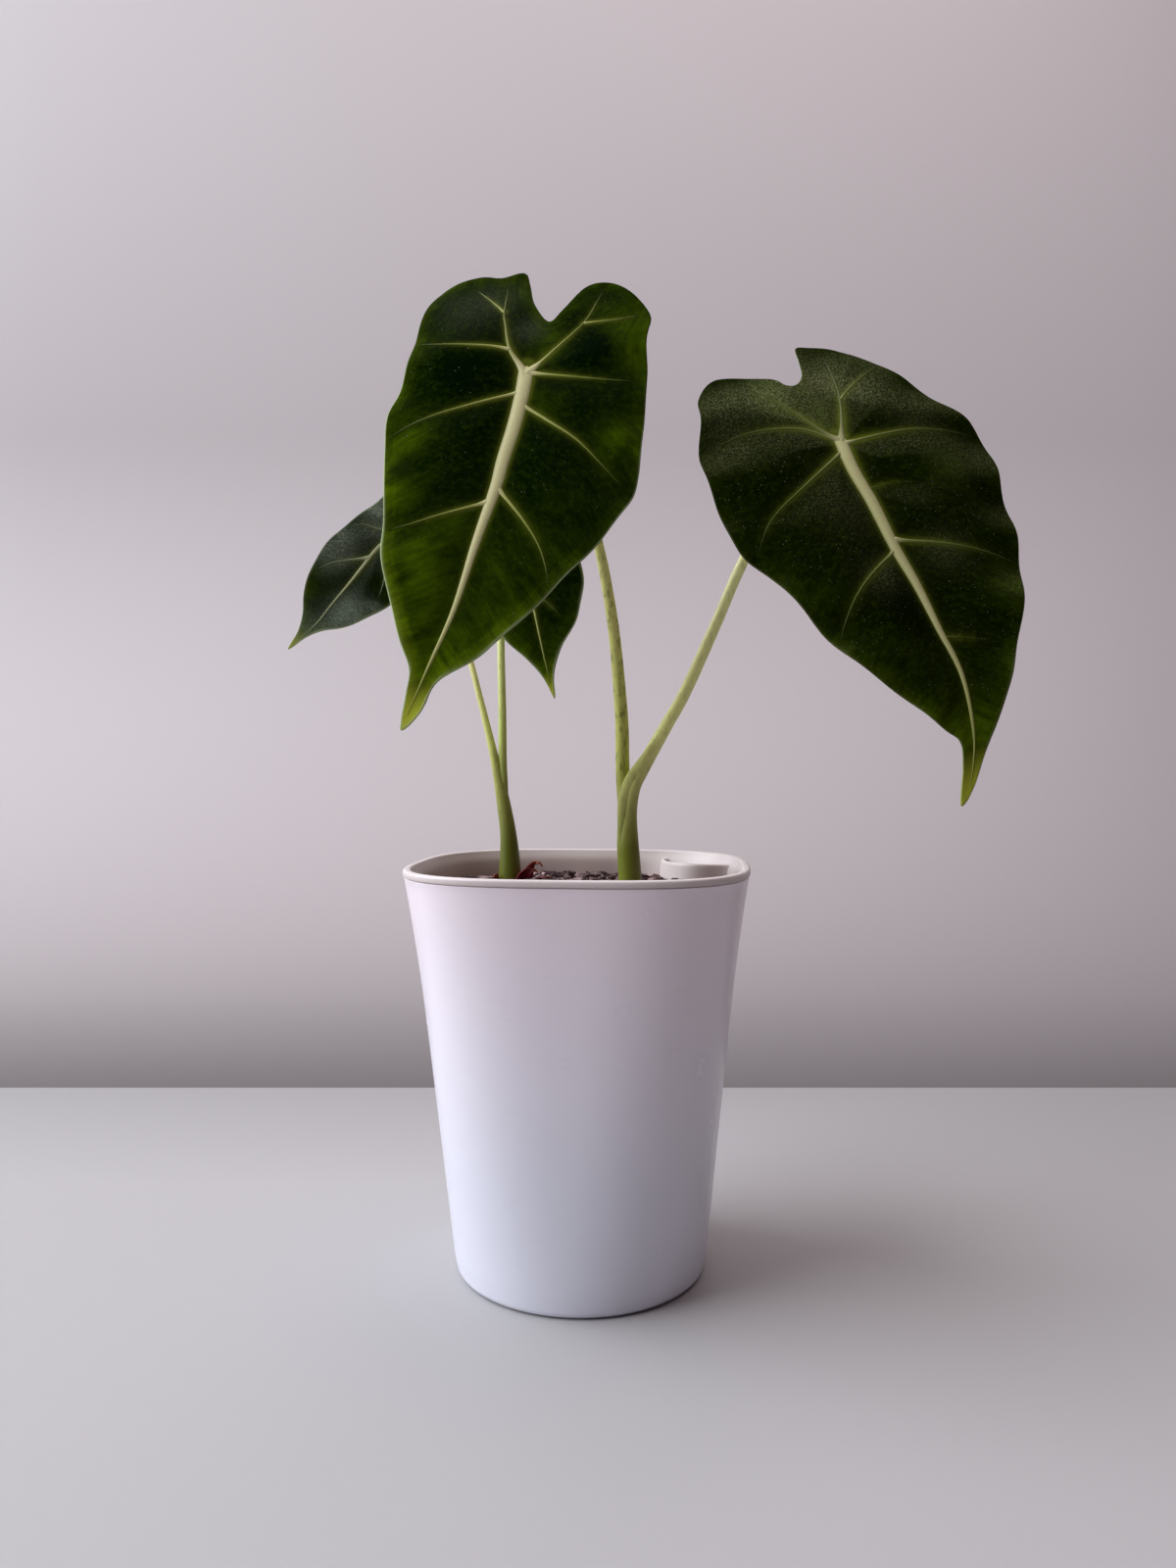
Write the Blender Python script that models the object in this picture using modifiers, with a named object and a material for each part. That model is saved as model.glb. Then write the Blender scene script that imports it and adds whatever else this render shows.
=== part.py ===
"""A potted frydek alocasia: outer pot, planting liner with a fill port, soil and four leaves.

Sizes are millimetres and become metres through MM. The origin is the middle of the pot's underside,
+Z is up and -Y is the front. A leaf is drawn flat in its own frame: u runs across it, v from the
point where the stalk meets the blade down to the tip, and w stands out of its upper face.
"""

import math
import random
from dataclasses import dataclass

import bmesh
import bpy
from mathutils import Matrix, Vector, noise
from mathutils.bvhtree import BVHTree

MM = 0.001
GAP = 0.3
CUTTER_SPARE = 5.0

# Outer pot: round at the foot, a rounded square at the rim
POT_HEIGHT = 145.0
POT_TURN = math.radians(-5.6)
FOOT_HALF_WIDTH = 44.8
SIDE_TAPER = 0.0955
FLARE = 1.75
FLARE_START = 90.0
FOOT_ROUNDING = 3.0
POT_WALL = 1.8
POT_EDGE = 142.0
FOOT_EXPONENT = 2.0
RIM_EXPONENT = 2.97
SECTION_SIDES = 40
WALL_LEVELS = (3.0, 25.0, 50.0, 75.0, 95.0, 110.0, 122.0, 132.0, POT_EDGE)

# Planting liner: hangs by its lip on the pot's edge
LIP_UNDERSIDE = 142.6
LIP_HALF_WIDTH = 60.3
LIP_ROUNDING = 0.5
LIP_INNER_HALF_WIDTH = 57.7
LINER_FLOOR_UNDERSIDE = 34.0
LINER_FLOOR = 2.0
LINER_WALL = 1.6
LINER_FLOOR_HALF_WIDTH = 43.8
LINER_TOP_HALF_WIDTH = 57.2
BORE_SHOULDER = 139.5
DRAIN_COUNT = 8
DRAIN_RING = 27.0
DRAIN_RADIUS = 2.5
DRAIN_SIDES = 10

# Fill port: a curved wall across one corner of the liner, and the shaft behind it
PORT_TOP = 142.0
PORT_TOP_CENTRE = 48.5
PORT_TOP_RADIUS = 21.0
PORT_FLOOR_CENTRE = 38.5
PORT_FLOOR_RADIUS = 18.0
PORT_WALL = 1.5
PORT_SIDES = 32
PORT_BITE = 0.8
PORT_OUTLET = 20.0

# Soil
SOIL_TOP = 136.4
SOIL_RELIEF = 1.3
SOIL_PATCH = 9.0
SOIL_GRID = 14
MOUND_HEIGHT = 1.2
MOUND_CENTRE = (-3.0, 10.0)
MOUND_REACH = 30.0
CHIP_COUNT = 46
CHIP_REACH = 45.0
CHIP_LENGTH = (4.0, 8.0)
CHIP_SLIMNESS = (0.45, 0.7)
CHIP_THICKNESS = (2.2, 3.4)
CHIP_LEAN = 0.45
CHIP_RAGGEDNESS = (0.8, 1.1)
CHIP_TO_PORT = 6.0
SOIL_SEED = 7

# Leaves; the neck is the end of the stalk, which passes through the blade
BLADE = 0.8
STALK_HOLE = 2.7
GROWN_STALK = 1.7
STALK_STEP = 9.0
NECK_DEPTHS = (9.0, 4.5)
NECK_ASIDE = 0.4
NECK_SPARE = 0.05
NECK_RISE = 0.8
RIB_CLEARANCE = 0.38
RIB_STEP = 6.5
RIB_THICKNESS = 0.55
RIB_THICKENING = 0.42
RIB_CREST = 0.45
RIB_STAGGER = 0.06
BLADE_RINGS = (0.16, 0.36, 0.58, 0.78, 0.92, 1.0)
YOUNG_BLADE_RINGS = (0.24, 0.55, 0.82, 1.0)
QUILT_HEIGHT = 1.1
QUILT_REACH = 8.0
MARGIN_WAVE = 1.0
MARGIN_WAVE_LENGTH = 26.0
FOLD_ROUNDING = 5.0
GROWN_LENGTH = 130.0


@dataclass(frozen=True)
class Rib:
    """A vein in the leaf's plane: its points (u, v) and its width where it starts and ends."""

    points: tuple
    start_width: float
    end_width: float = 0.7


@dataclass(frozen=True)
class Leaf:
    """One leaf: where its blade hangs, how it is bent, its outline, its veins and its stalk.

    The stalk's points are (x, y, z, radius); sheath, where there is one, is a second such list.
    """

    name: str
    joint: tuple
    tip: tuple
    turn: float
    arch: float
    outline: tuple
    ribs: tuple
    stalk: tuple
    sheath: tuple = ()
    fold: float = 0.22
    droop: float = 0.0055
    rings: tuple = BLADE_RINGS


def closed(right, left):
    """An outline from the sinus down the right half to the tip and back up the left half."""
    return tuple(right) + tuple((-u, v) for u, v in reversed(left))


def paired(ribs, left_share=1.0):
    """Repeats side veins on the other half of a leaf."""
    left = [
        Rib(tuple((-u * left_share, v) for u, v in rib.points), rib.start_width, rib.end_width)
        for rib in ribs
    ]
    return tuple(ribs) + tuple(left)


FRONT_LEAF = Leaf(
    name="front_leaf",
    joint=(-18.8, -6.0, 319.2),
    tip=(-58.7, -36.0, 191.8),
    turn=12.0,
    arch=7.0,
    outline=(
        (0, -23), (-8, -30), (-13, -39), (-17, -44), (-25, -40), (-33, -39), (-41, -35),
        (-45, -28), (-46, -12), (-43, 5), (-41, 18), (-41, 30), (-38, 44), (-31, 60),
        (-25.5, 78), (-18, 92), (-8, 108), (-2, 117), (-1, 126), (0, 137), (5, 130), (8, 119),
        (21, 107), (32, 89), (44, 67), (51, 47), (51, 33), (46.5, 14), (41, -8), (37, -22),
        (34, -36), (24, -45), (14, -48), (7, -44), (3, -30),
    ),
    ribs=(
        Rib(((-1, -2), (2, 10), (4, 24), (6, 39), (7, 50), (5, 71), (5, 95), (3, 117)), 5.4, 0.9),
        Rib(((0, 1), (-10, -9), (-16, -21), (-31, -31)), 2.4),
        Rib(((-16, -21), (-19, -30), (-22, -38)), 1.5),
        Rib(((-6, -5), (-18, -6), (-27, -4), (-40, -3)), 1.9),
        Rib(((2, 9), (-12, 20), (-24, 27), (-33, 34)), 2.0),
        Rib(((6, 56), (-8, 63), (-21, 71)), 1.6),
        Rib(((1, -1), (6, -13), (11, -24), (15, -40)), 2.4),
        Rib(((11, -24), (19, -28), (27, -33)), 1.5),
        Rib(((0, 1), (18, 0), (35, -2)), 1.9),
        Rib(((3, 16), (20, 22), (33, 29), (43, 35)), 2.0),
        Rib(((7, 50), (19, 58), (27, 66), (31, 73)), 1.7),
    ),
    stalk=(
        (16.8, 2.6, 151.0, 2.2), (15.4, 3.0, 172.0, 2.5), (15.1, 3.0, 182.0, 2.5),
        (14.7, 3.0, 198.0, 2.4), (12.5, 2.0, 226.0, 1.85), (9.3, 0.5, 247.0, 1.7),
        (6.5, -0.5, 259.5, 1.6), (2.6, 0.0, 274.8, 1.6), (-3.6, 1.5, 294.0, 1.6),
        (-11.0, 4.5, 310.5, 1.7),
    ),
)

RIGHT_LEAF = Leaf(
    name="right_leaf",
    joint=(93.1, 2.0, 296.5),
    tip=(126.2, -34.0, 167.3),
    turn=-10.0,
    arch=7.0,
    outline=(
        (-6, -30), (-14, -34), (-25, -37), (-35, -37), (-43, -31), (-46, -20), (-51, -3),
        (-51, 20), (-49, 36), (-43, 48), (-36, 63), (-27, 80), (-15, 95), (-1, 112), (5, 118),
        (4, 127), (0, 138), (5, 134), (12, 123), (21, 111), (33, 91), (43, 70), (48, 52),
        (50, 40), (52, 30), (56, 14), (53, -3), (43, -14), (33, -27), (24, -37), (13, -45),
        (2, -47), (-1, -37),
    ),
    ribs=(
        Rib(((0, -2), (1, 12), (3, 28), (4, 47), (6, 63), (9, 81), (11, 97), (9, 118)), 5.0, 0.9),
        Rib(((1, -1), (7, -19), (8, -40)), 2.4),
        Rib(((7, -19), (14, -23), (22, -28)), 1.5),
        Rib(((0, 0), (-12, -14), (-23, -26), (-33, -32)), 2.3),
        Rib(((0, 1), (-12, -6), (-23, -9), (-45, -7)), 1.8),
        Rib(((1, 3), (-20, 16), (-33, 25), (-43, 36)), 2.0),
        Rib(((4, 50), (-10, 57), (-19, 65), (-24, 73)), 1.6),
        Rib(((1, 2), (16, 1), (32, 2), (50, 5)), 1.9),
        Rib(((4, 46), (16, 48), (29, 52), (43, 59)), 1.8),
    ),
    stalk=(
        (18.0, 0.0, 118.0, 4.1), (17.8, 0.0, 138.0, 4.2), (16.9, 0.0, 153.0, 3.9),
        (17.1, 0.0, 163.0, 3.2), (18.8, 0.0, 172.0, 2.75), (22.1, 1.0, 178.5, 2.6),
        (26.0, 2.0, 185.6, 2.5), (31.7, 3.0, 195.6, 2.3), (38.2, 4.0, 207.0, 2.15),
        (49.1, 7.0, 230.3, 1.8), (59.0, 9.0, 252.8, 1.65), (69.3, 11.5, 272.0, 1.6),
        (79.5, 13.0, 286.0, 1.7),
    ),
    sheath=(
        (17.1, -1.0, 150.0, 2.6), (15.4, -1.5, 162.7, 2.4), (16.1, -1.5, 172.2, 1.9),
        (18.8, -1.0, 178.6, 1.5), (22.4, 1.0, 184.5, 1.2), (26.6, 2.0, 188.4, 0.8),
    ),
)

YOUNG_VEINS = (
    Rib(((0, 0), (5, -7), (10, -18)), 1.5, 0.6),
    Rib(((0, 1), (7, 1), (15, -1)), 1.2, 0.6),
    Rib(((0, 9), (7, 14), (14, 22)), 1.3, 0.6),
    Rib(((0, 30), (6, 36), (11, 44)), 1.1, 0.6),
)

LEFT_LEAF = Leaf(
    name="left_leaf",
    joint=(-63.5, 44.0, 279.2),
    tip=(-114.1, 34.0, 224.7),
    turn=0.0,
    arch=4.0,
    outline=closed(
        right=(
            (0, -12), (4, -18), (7, -24), (12, -25), (16, -20), (18, -10), (18, 4), (17, 17),
            (18, 28), (17, 38), (14, 47), (10, 55), (5, 61), (2, 67), (0, 75),
        ),
        left=(
            (4, -18), (7, -23), (12, -24), (15, -18), (16, -8), (15, 5), (16, 17), (17, 28),
            (16.5, 38), (14, 47), (10, 55), (5, 61), (2, 67),
        ),
    ),
    ribs=(Rib(((0, -1), (-1, 23), (-1, 42), (0, 63)), 2.8, 0.7),) + paired(YOUNG_VEINS),
    stalk=(
        (-27.0, 20.0, 120.0, 4.1), (-26.9, 20.0, 138.0, 4.2), (-27.4, 20.0, 152.4, 3.2),
        (-29.3, 20.0, 165.4, 2.6), (-31.1, 20.0, 174.6, 2.0), (-32.9, 20.0, 183.5, 1.6),
        (-35.5, 22.0, 194.0, 1.35), (-38.8, 24.0, 206.6, 1.2), (-42.0, 26.5, 218.3, 1.15),
        (-46.6, 31.0, 233.0, 1.15), (-52.0, 38.0, 249.0, 1.15), (-57.5, 47.0, 265.0, 1.2),
    ),
    rings=YOUNG_BLADE_RINGS,
)

REAR_LEAF = Leaf(
    name="rear_leaf",
    joint=(-24.8, 22.0, 272.6),
    tip=(-9.6, 8.0, 205.0),
    turn=18.0,
    arch=4.0,
    outline=closed(
        right=(
            (0, -11), (4, -17), (8, -22), (13, -23), (18, -18), (20, -8), (20, 5), (21, 17),
            (23, 28), (21.5, 37), (17, 46), (9, 54), (4, 60), (1.5, 65), (0, 71.5),
        ),
        left=(
            (3, -17), (6, -21), (10, -23), (14, -18), (16, -8), (16, 5), (16, 17), (17, 28),
            (15.5, 37), (12, 46), (6, 54), (2.5, 60), (1, 65),
        ),
    ),
    ribs=(Rib(((0, -1), (1, 20), (1, 38), (0, 60)), 2.8, 0.7),) + paired(YOUNG_VEINS, 0.85),
    stalk=(
        (-28.3, 20.0, 150.0, 1.45), (-29.2, 20.0, 172.0, 1.6), (-29.6, 20.0, 181.0, 1.6),
        (-29.7, 20.0, 200.0, 1.5), (-30.3, 22.0, 226.0, 1.4), (-30.2, 26.0, 247.0, 1.3),
        (-28.2, 30.5, 263.0, 1.25),
    ),
    rings=YOUNG_BLADE_RINGS,
)

LEAVES = (FRONT_LEAF, RIGHT_LEAF, LEFT_LEAF, REAR_LEAF)
STANDS_IN_SHEATH = {"front_leaf": "right_leaf", "rear_leaf": "left_leaf"}

# Dried bud scale at the foot of the left shoot: (x, y, z) down its middle, and its width there
BUD_SCALE = (
    (-20.6, 22.5, 131.5, 4.0), (-20.4, 22.5, 136.5, 5.0), (-19.6, 22.0, 141.0, 5.5),
    (-17.6, 21.5, 143.8, 4.0), (-14.9, 21.0, 143.4, 1.2),
)
BUD_SCALE_CUP = 1.2
BUD_SCALE_THICKNESS = 0.7
BUD_SCALE_HOLE = 3.6


def clear_scene():
    for thing in list(bpy.data.objects):
        bpy.data.objects.remove(thing, do_unlink=True)
    for group in list(bpy.data.collections):
        bpy.data.collections.remove(group)


def new_collection(name):
    group = bpy.data.collections.new(name)
    bpy.context.scene.collection.children.link(group)
    return group


def material(name, colour, roughness):
    """A Principled material from a linear colour."""
    finish = bpy.data.materials.new(name)
    finish.use_nodes = True
    shader = finish.node_tree.nodes["Principled BSDF"]
    shader.inputs["Base Color"].default_value = (*colour, 1.0)
    shader.inputs["Roughness"].default_value = roughness
    shader.inputs["Metallic"].default_value = 0.0
    return finish


def object_from(form, name, group, turn=0.0):
    """Makes an object of a bmesh, its points given in millimetres."""
    mesh = bpy.data.meshes.new(name)
    bmesh.ops.scale(form, vec=(MM, MM, MM), verts=form.verts)
    form.to_mesh(mesh)
    form.free()
    thing = bpy.data.objects.new(name, mesh)
    thing.rotation_euler.z = turn
    group.objects.link(thing)
    return thing


def bake(thing):
    """Replaces an object's mesh with what its modifiers make of it."""
    bpy.context.view_layer.update()
    graph = bpy.context.evaluated_depsgraph_get()
    mesh = bpy.data.meshes.new_from_object(thing.evaluated_get(graph))
    thing.modifiers.clear()
    thing.data = mesh


def boolean(thing, operation, others, solver="EXACT"):
    """Joins, cuts or trims an object by a list of others, which are then removed."""
    group = new_collection("boolean_operands")
    for other in others:
        for owner in list(other.users_collection):
            owner.objects.unlink(other)
        group.objects.link(other)
    step = thing.modifiers.new("boolean", "BOOLEAN")
    step.operation = operation
    step.operand_type = "COLLECTION" if operation != "INTERSECT" else "OBJECT"
    step.solver = solver
    if operation == "INTERSECT":
        step.object = others[0]
    else:
        step.collection = group
    bake(thing)
    for other in others:
        bpy.data.objects.remove(other, do_unlink=True)
    bpy.data.collections.remove(group)


def smooth_path(points, step):
    """Points along a Catmull-Rom curve, about a step apart; extra values, such as radius, follow."""
    path = []
    last = len(points) - 1
    for i in range(last):
        ends = [points[max(i - 1, 0)], points[i], points[i + 1], points[min(i + 2, last)]]
        span = math.dist(points[i][:3], points[i + 1][:3])
        count = max(1, round(span / step))
        path += [blend(ends, j / count) for j in range(count)]
    return path + [tuple(points[-1])]


def blend(ends, t):
    """One Catmull-Rom point between ends[1] and ends[2]."""
    weights = (
        (-t + 2 * t**2 - t**3) / 2,
        (2 - 5 * t**2 + 3 * t**3) / 2,
        (t + 4 * t**2 - 3 * t**3) / 2,
        (-(t**2) + t**3) / 2,
    )
    return tuple(sum(w * p for w, p in zip(weights, place)) for place in zip(*ends))


def pot_half_width(z):
    flare = max(0.0, (z - FLARE_START) / (POT_HEIGHT - FLARE_START))
    return FOOT_HALF_WIDTH + SIDE_TAPER * z + FLARE * flare**2


def section(z, half_width):
    """The plan outline at height z: a superellipse that is a circle at the foot."""
    exponent = FOOT_EXPONENT + (RIM_EXPONENT - FOOT_EXPONENT) * min(1.0, z / POT_HEIGHT)
    ring = []
    for i in range(SECTION_SIDES):
        angle = 2 * math.pi * i / SECTION_SIDES
        c = math.cos(angle)
        s = math.sin(angle)
        radius = half_width / (abs(c) ** exponent + abs(s) ** exponent) ** (1 / exponent)
        ring.append((radius * c, radius * s, z))
    return ring


def loft(levels, open_top=False):
    """A bmesh through the plan outlines at (z, half width), closed below and, if asked, above."""
    form = bmesh.new()
    rings = [[form.verts.new(p) for p in section(z, half)] for z, half in levels]
    for low, high in zip(rings, rings[1:]):
        for i in range(SECTION_SIDES):
            j = (i + 1) % SECTION_SIDES
            form.faces.new((low[i], low[j], high[j]))
            form.faces.new((low[i], high[j], high[i]))
    form.faces.new(list(reversed(rings[0])))
    if not open_top:
        form.faces.new(rings[-1])
    return form


def build_outer_pot(group):
    levels = []
    for step in range(3):
        angle = math.pi / 2 * step / 3
        inset = FOOT_ROUNDING * (1 - math.sin(angle))
        levels.append((FOOT_ROUNDING * (1 - math.cos(angle)), pot_half_width(0) - inset))
    levels += [(z, pot_half_width(z)) for z in WALL_LEVELS]
    pot = object_from(loft(levels, open_top=True), "outer_pot", group, POT_TURN)
    shell = pot.modifiers.new("wall", "SOLIDIFY")
    shell.thickness = POT_WALL * MM
    shell.offset = -1.0
    shell.use_even_offset = True
    pot.data.materials.append(material("white_gloss_plastic", (0.78, 0.76, 0.80), 0.25))
    pot.data.shade_smooth()
    return pot


def bore_levels(shrink=0.0, floor=LINER_FLOOR_UNDERSIDE + LINER_FLOOR, top=POT_HEIGHT + 1.0):
    """The hollow of the liner, which the soil fills."""
    floor_half = LINER_FLOOR_HALF_WIDTH - LINER_WALL - shrink
    shoulder_half = LINER_TOP_HALF_WIDTH - LINER_WALL - shrink
    return [
        (floor, floor_half),
        (BORE_SHOULDER, shoulder_half),
        (POT_HEIGHT, LIP_INNER_HALF_WIDTH - shrink),
        (top, LIP_INNER_HALF_WIDTH + 0.4 - shrink),
    ]


def port_cone(name, group, grow, low, high):
    """The fill port's curved wall as a leaning cone, between two heights."""
    form = bmesh.new()
    rings = []
    for z in (low, high):
        share = (z - LINER_FLOOR_UNDERSIDE) / (PORT_TOP - LINER_FLOOR_UNDERSIDE)
        centre = PORT_FLOOR_CENTRE + share * (PORT_TOP_CENTRE - PORT_FLOOR_CENTRE)
        radius = PORT_FLOOR_RADIUS + share * (PORT_TOP_RADIUS - PORT_FLOOR_RADIUS) + grow
        ring = bmesh.ops.create_circle(form, radius=radius, segments=PORT_SIDES)["verts"]
        bmesh.ops.translate(form, vec=(centre, centre, z), verts=ring)
        rings.append(ring)
    for i in range(PORT_SIDES):
        j = (i + 1) % PORT_SIDES
        form.faces.new((rings[0][i], rings[0][j], rings[1][j], rings[1][i]))
    form.faces.new(rings[0])
    form.faces.new(rings[1])
    bmesh.ops.recalc_face_normals(form, faces=form.faces)
    return object_from(form, name, group, POT_TURN)


def build_liner(group, cutters):
    shoulder = LINER_TOP_HALF_WIDTH
    outside = [
        (LINER_FLOOR_UNDERSIDE, LINER_FLOOR_HALF_WIDTH),
        (BORE_SHOULDER, shoulder),
        (LIP_UNDERSIDE, shoulder + 0.2),
        (LIP_UNDERSIDE + 0.01, LIP_HALF_WIDTH - 0.1),
        (LIP_UNDERSIDE + LIP_ROUNDING, LIP_HALF_WIDTH),
        (POT_HEIGHT - LIP_ROUNDING, LIP_HALF_WIDTH),
        (POT_HEIGHT, LIP_HALF_WIDTH - LIP_ROUNDING),
    ]
    liner = object_from(loft(outside), "planting_liner", group, POT_TURN)
    bore = object_from(loft(bore_levels()), "bore", cutters, POT_TURN)
    boolean(liner, "DIFFERENCE", [bore])

    floor = LINER_FLOOR_UNDERSIDE
    wall = port_cone("port_wall", cutters, 0.0, floor + PORT_BITE, PORT_TOP)
    shaft_top = POT_HEIGHT + CUTTER_SPARE
    shaft = port_cone("port_shaft", cutters, -PORT_WALL, floor - CUTTER_SPARE, shaft_top)
    boolean(wall, "DIFFERENCE", [shaft])
    seat_levels = bore_levels(-PORT_BITE, floor + PORT_BITE)
    seat = object_from(loft(seat_levels), "port_seat", cutters, POT_TURN)
    boolean(wall, "INTERSECT", [seat])
    boolean(liner, "UNION", [wall])

    low = floor - CUTTER_SPARE
    outlet = port_cone("port_outlet", cutters, -PORT_WALL, low, floor + PORT_OUTLET)
    inside = object_from(loft(bore_levels(0.0, low)), "outlet_limit", cutters, POT_TURN)
    boolean(outlet, "INTERSECT", [inside])
    drains = [outlet]
    for i in range(DRAIN_COUNT):
        angle = 2 * math.pi * i / DRAIN_COUNT + math.pi / 8
        form = bmesh.new()
        bmesh.ops.create_cone(
            form,
            cap_ends=True,
            segments=DRAIN_SIDES,
            radius1=DRAIN_RADIUS,
            radius2=DRAIN_RADIUS,
            depth=LINER_FLOOR + CUTTER_SPARE,
        )
        middle = floor + LINER_FLOOR / 2
        centre = (DRAIN_RING * math.cos(angle), DRAIN_RING * math.sin(angle), middle)
        bmesh.ops.translate(form, vec=centre, verts=form.verts)
        drains.append(object_from(form, "drain", cutters, POT_TURN))
    boolean(liner, "DIFFERENCE", drains)
    liner.data.materials.append(material("white_plastic", (0.80, 0.77, 0.78), 0.35))
    liner.data.shade_smooth()
    liner.data.set_sharp_from_angle(angle=math.radians(30))
    return liner


def soil_height(x, y):
    """Relief of the soil's surface, with a low mound round the two shoots."""
    bumps = noise.noise(Vector((x / SOIL_PATCH, y / SOIL_PATCH, 0.0)))
    away = math.dist((x, y), MOUND_CENTRE) / MOUND_REACH
    return SOIL_TOP + SOIL_RELIEF * bumps + MOUND_HEIGHT * math.exp(-(away**2))


def in_port(x, y, margin):
    """Whether a point of the plan lies behind the port's wall or within a margin of it."""
    turned = Matrix.Rotation(-POT_TURN, 2) @ Vector((x, y))
    reach = PORT_TOP_RADIUS + margin
    return math.dist(turned, (PORT_TOP_CENTRE, PORT_TOP_CENTRE)) < reach


def soil_chips(cutters):
    """Bark and fibre lumps, spread evenly over the surface and half sunk in it."""
    draw = random.Random(SOIL_SEED)
    chips = []
    for i in range(CHIP_COUNT):
        radius = CHIP_REACH * math.sqrt((i + 0.5) / CHIP_COUNT)
        angle = i * math.pi * (3 - math.sqrt(5))
        x = radius * math.cos(angle)
        y = radius * math.sin(angle)
        length = draw.uniform(*CHIP_LENGTH)
        width = length * draw.uniform(*CHIP_SLIMNESS)
        size = Vector((length, width, draw.uniform(*CHIP_THICKNESS)))
        spin = Matrix.Rotation(draw.uniform(0, 2 * math.pi), 4, "Z")
        lean = Matrix.Rotation(draw.uniform(-CHIP_LEAN, CHIP_LEAN), 4, "X")
        if in_port(x, y, CHIP_TO_PORT):
            continue
        form = bmesh.new()
        bmesh.ops.create_cube(form, size=1.0)
        for vert in form.verts:
            vert.co = vert.co * draw.uniform(*CHIP_RAGGEDNESS)
        bmesh.ops.scale(form, vec=size, verts=form.verts)
        place = Matrix.Translation((x, y, soil_height(x, y))) @ spin @ lean
        bmesh.ops.transform(form, matrix=place, verts=form.verts)
        bmesh.ops.triangulate(form, faces=form.faces)
        chips.append(object_from(form, "chip", cutters))
    return chips


def build_soil(group, cutters, feet):
    levels = bore_levels(GAP, LINER_FLOOR_UNDERSIDE + LINER_FLOOR + GAP)
    soil = object_from(loft(levels), "soil", group, POT_TURN)

    form = bmesh.new()
    half = LIP_HALF_WIDTH + CUTTER_SPARE
    bmesh.ops.create_grid(form, x_segments=SOIL_GRID, y_segments=SOIL_GRID, size=half)
    for vert in form.verts:
        vert.co.z = soil_height(vert.co.x, vert.co.y)
    top = bmesh.ops.extrude_face_region(form, geom=list(form.faces))["geom"]
    for vert in top:
        if isinstance(vert, bmesh.types.BMVert):
            vert.co.z = POT_HEIGHT + 2 * CUTTER_SPARE
    bmesh.ops.recalc_face_normals(form, faces=form.faces)
    above = object_from(form, "above_soil", cutters)
    boolean(soil, "DIFFERENCE", [above], "MANIFOLD")
    boolean(soil, "UNION", soil_chips(cutters), "MANIFOLD")

    high = POT_HEIGHT + CUTTER_SPARE
    port = port_cone("port_room", cutters, GAP, LINER_FLOOR_UNDERSIDE, high)
    boolean(soil, "DIFFERENCE", [port] + feet, "MANIFOLD")
    soil.data.materials.append(material("potting_mix", (0.020, 0.012, 0.014), 0.95))
    return soil


def tube(name, points, group, step, grow=0.0):
    """A round stalk along points (x, y, z, radius), as a closed mesh."""
    path = smooth_path(points, step)
    curve = bpy.data.curves.new(name, "CURVE")
    curve.dimensions = "3D"
    curve.bevel_depth = MM
    curve.bevel_resolution = 2
    curve.use_fill_caps = True
    spline = curve.splines.new("POLY")
    spline.points.add(len(path) - 1)
    for point, (x, y, z, radius) in zip(spline.points, path):
        point.co = (x * MM, y * MM, z * MM, 1.0)
        point.radius = radius + grow
    source = bpy.data.objects.new(name + "_curve", curve)
    group.objects.link(source)
    bpy.context.view_layer.update()
    graph = bpy.context.evaluated_depsgraph_get()
    mesh = bpy.data.meshes.new_from_object(source.evaluated_get(graph))
    form = bmesh.new()
    form.from_mesh(mesh)
    bmesh.ops.remove_doubles(form, verts=form.verts, dist=1e-6)
    form.to_mesh(mesh)
    form.free()
    bpy.data.objects.remove(source, do_unlink=True)
    thing = bpy.data.objects.new(name, mesh)
    group.objects.link(thing)
    return thing


def leaf_frame(leaf):
    """The blade's frame in millimetres: columns u, v and w, with its origin at the stalk."""
    joint = Vector(leaf.joint)
    down = (Vector(leaf.tip) - joint).normalized()
    across = Vector((0, -1, 0)).cross(down).normalized()
    turn = Matrix.Rotation(math.radians(leaf.turn), 3, down)
    across = turn @ across
    face = down.cross(across)
    frame = Matrix((across, down, face)).transposed().to_4x4()
    frame.translation = joint
    return frame


def distance_to(points, u, v):
    """Distance from (u, v) to a line through points."""
    best = math.inf
    for (au, av), (bu, bv) in zip(points, points[1:]):
        du = bu - au
        dv = bv - av
        share = ((u - au) * du + (v - av) * dv) / (du * du + dv * dv)
        share = min(1.0, max(0.0, share))
        best = min(best, math.hypot(u - au - share * du, v - av - share * dv))
    return best


def blade_length(leaf):
    return math.dist(leaf.joint, leaf.tip)


def midrib_shift(leaf, v):
    """How far the bowed midrib lies to the side of the straight line from stalk to tip."""
    points = smooth_path(leaf.ribs[0].points + ((0.0, blade_length(leaf)),), RIB_STEP)
    if v <= points[0][1]:
        return points[0][0]
    for (near_u, near_v), (far_u, far_v) in zip(points, points[1:]):
        if v <= far_v:
            return near_u + (far_u - near_u) * (v - near_v) / (far_v - near_v)
    return 0.0


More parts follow.
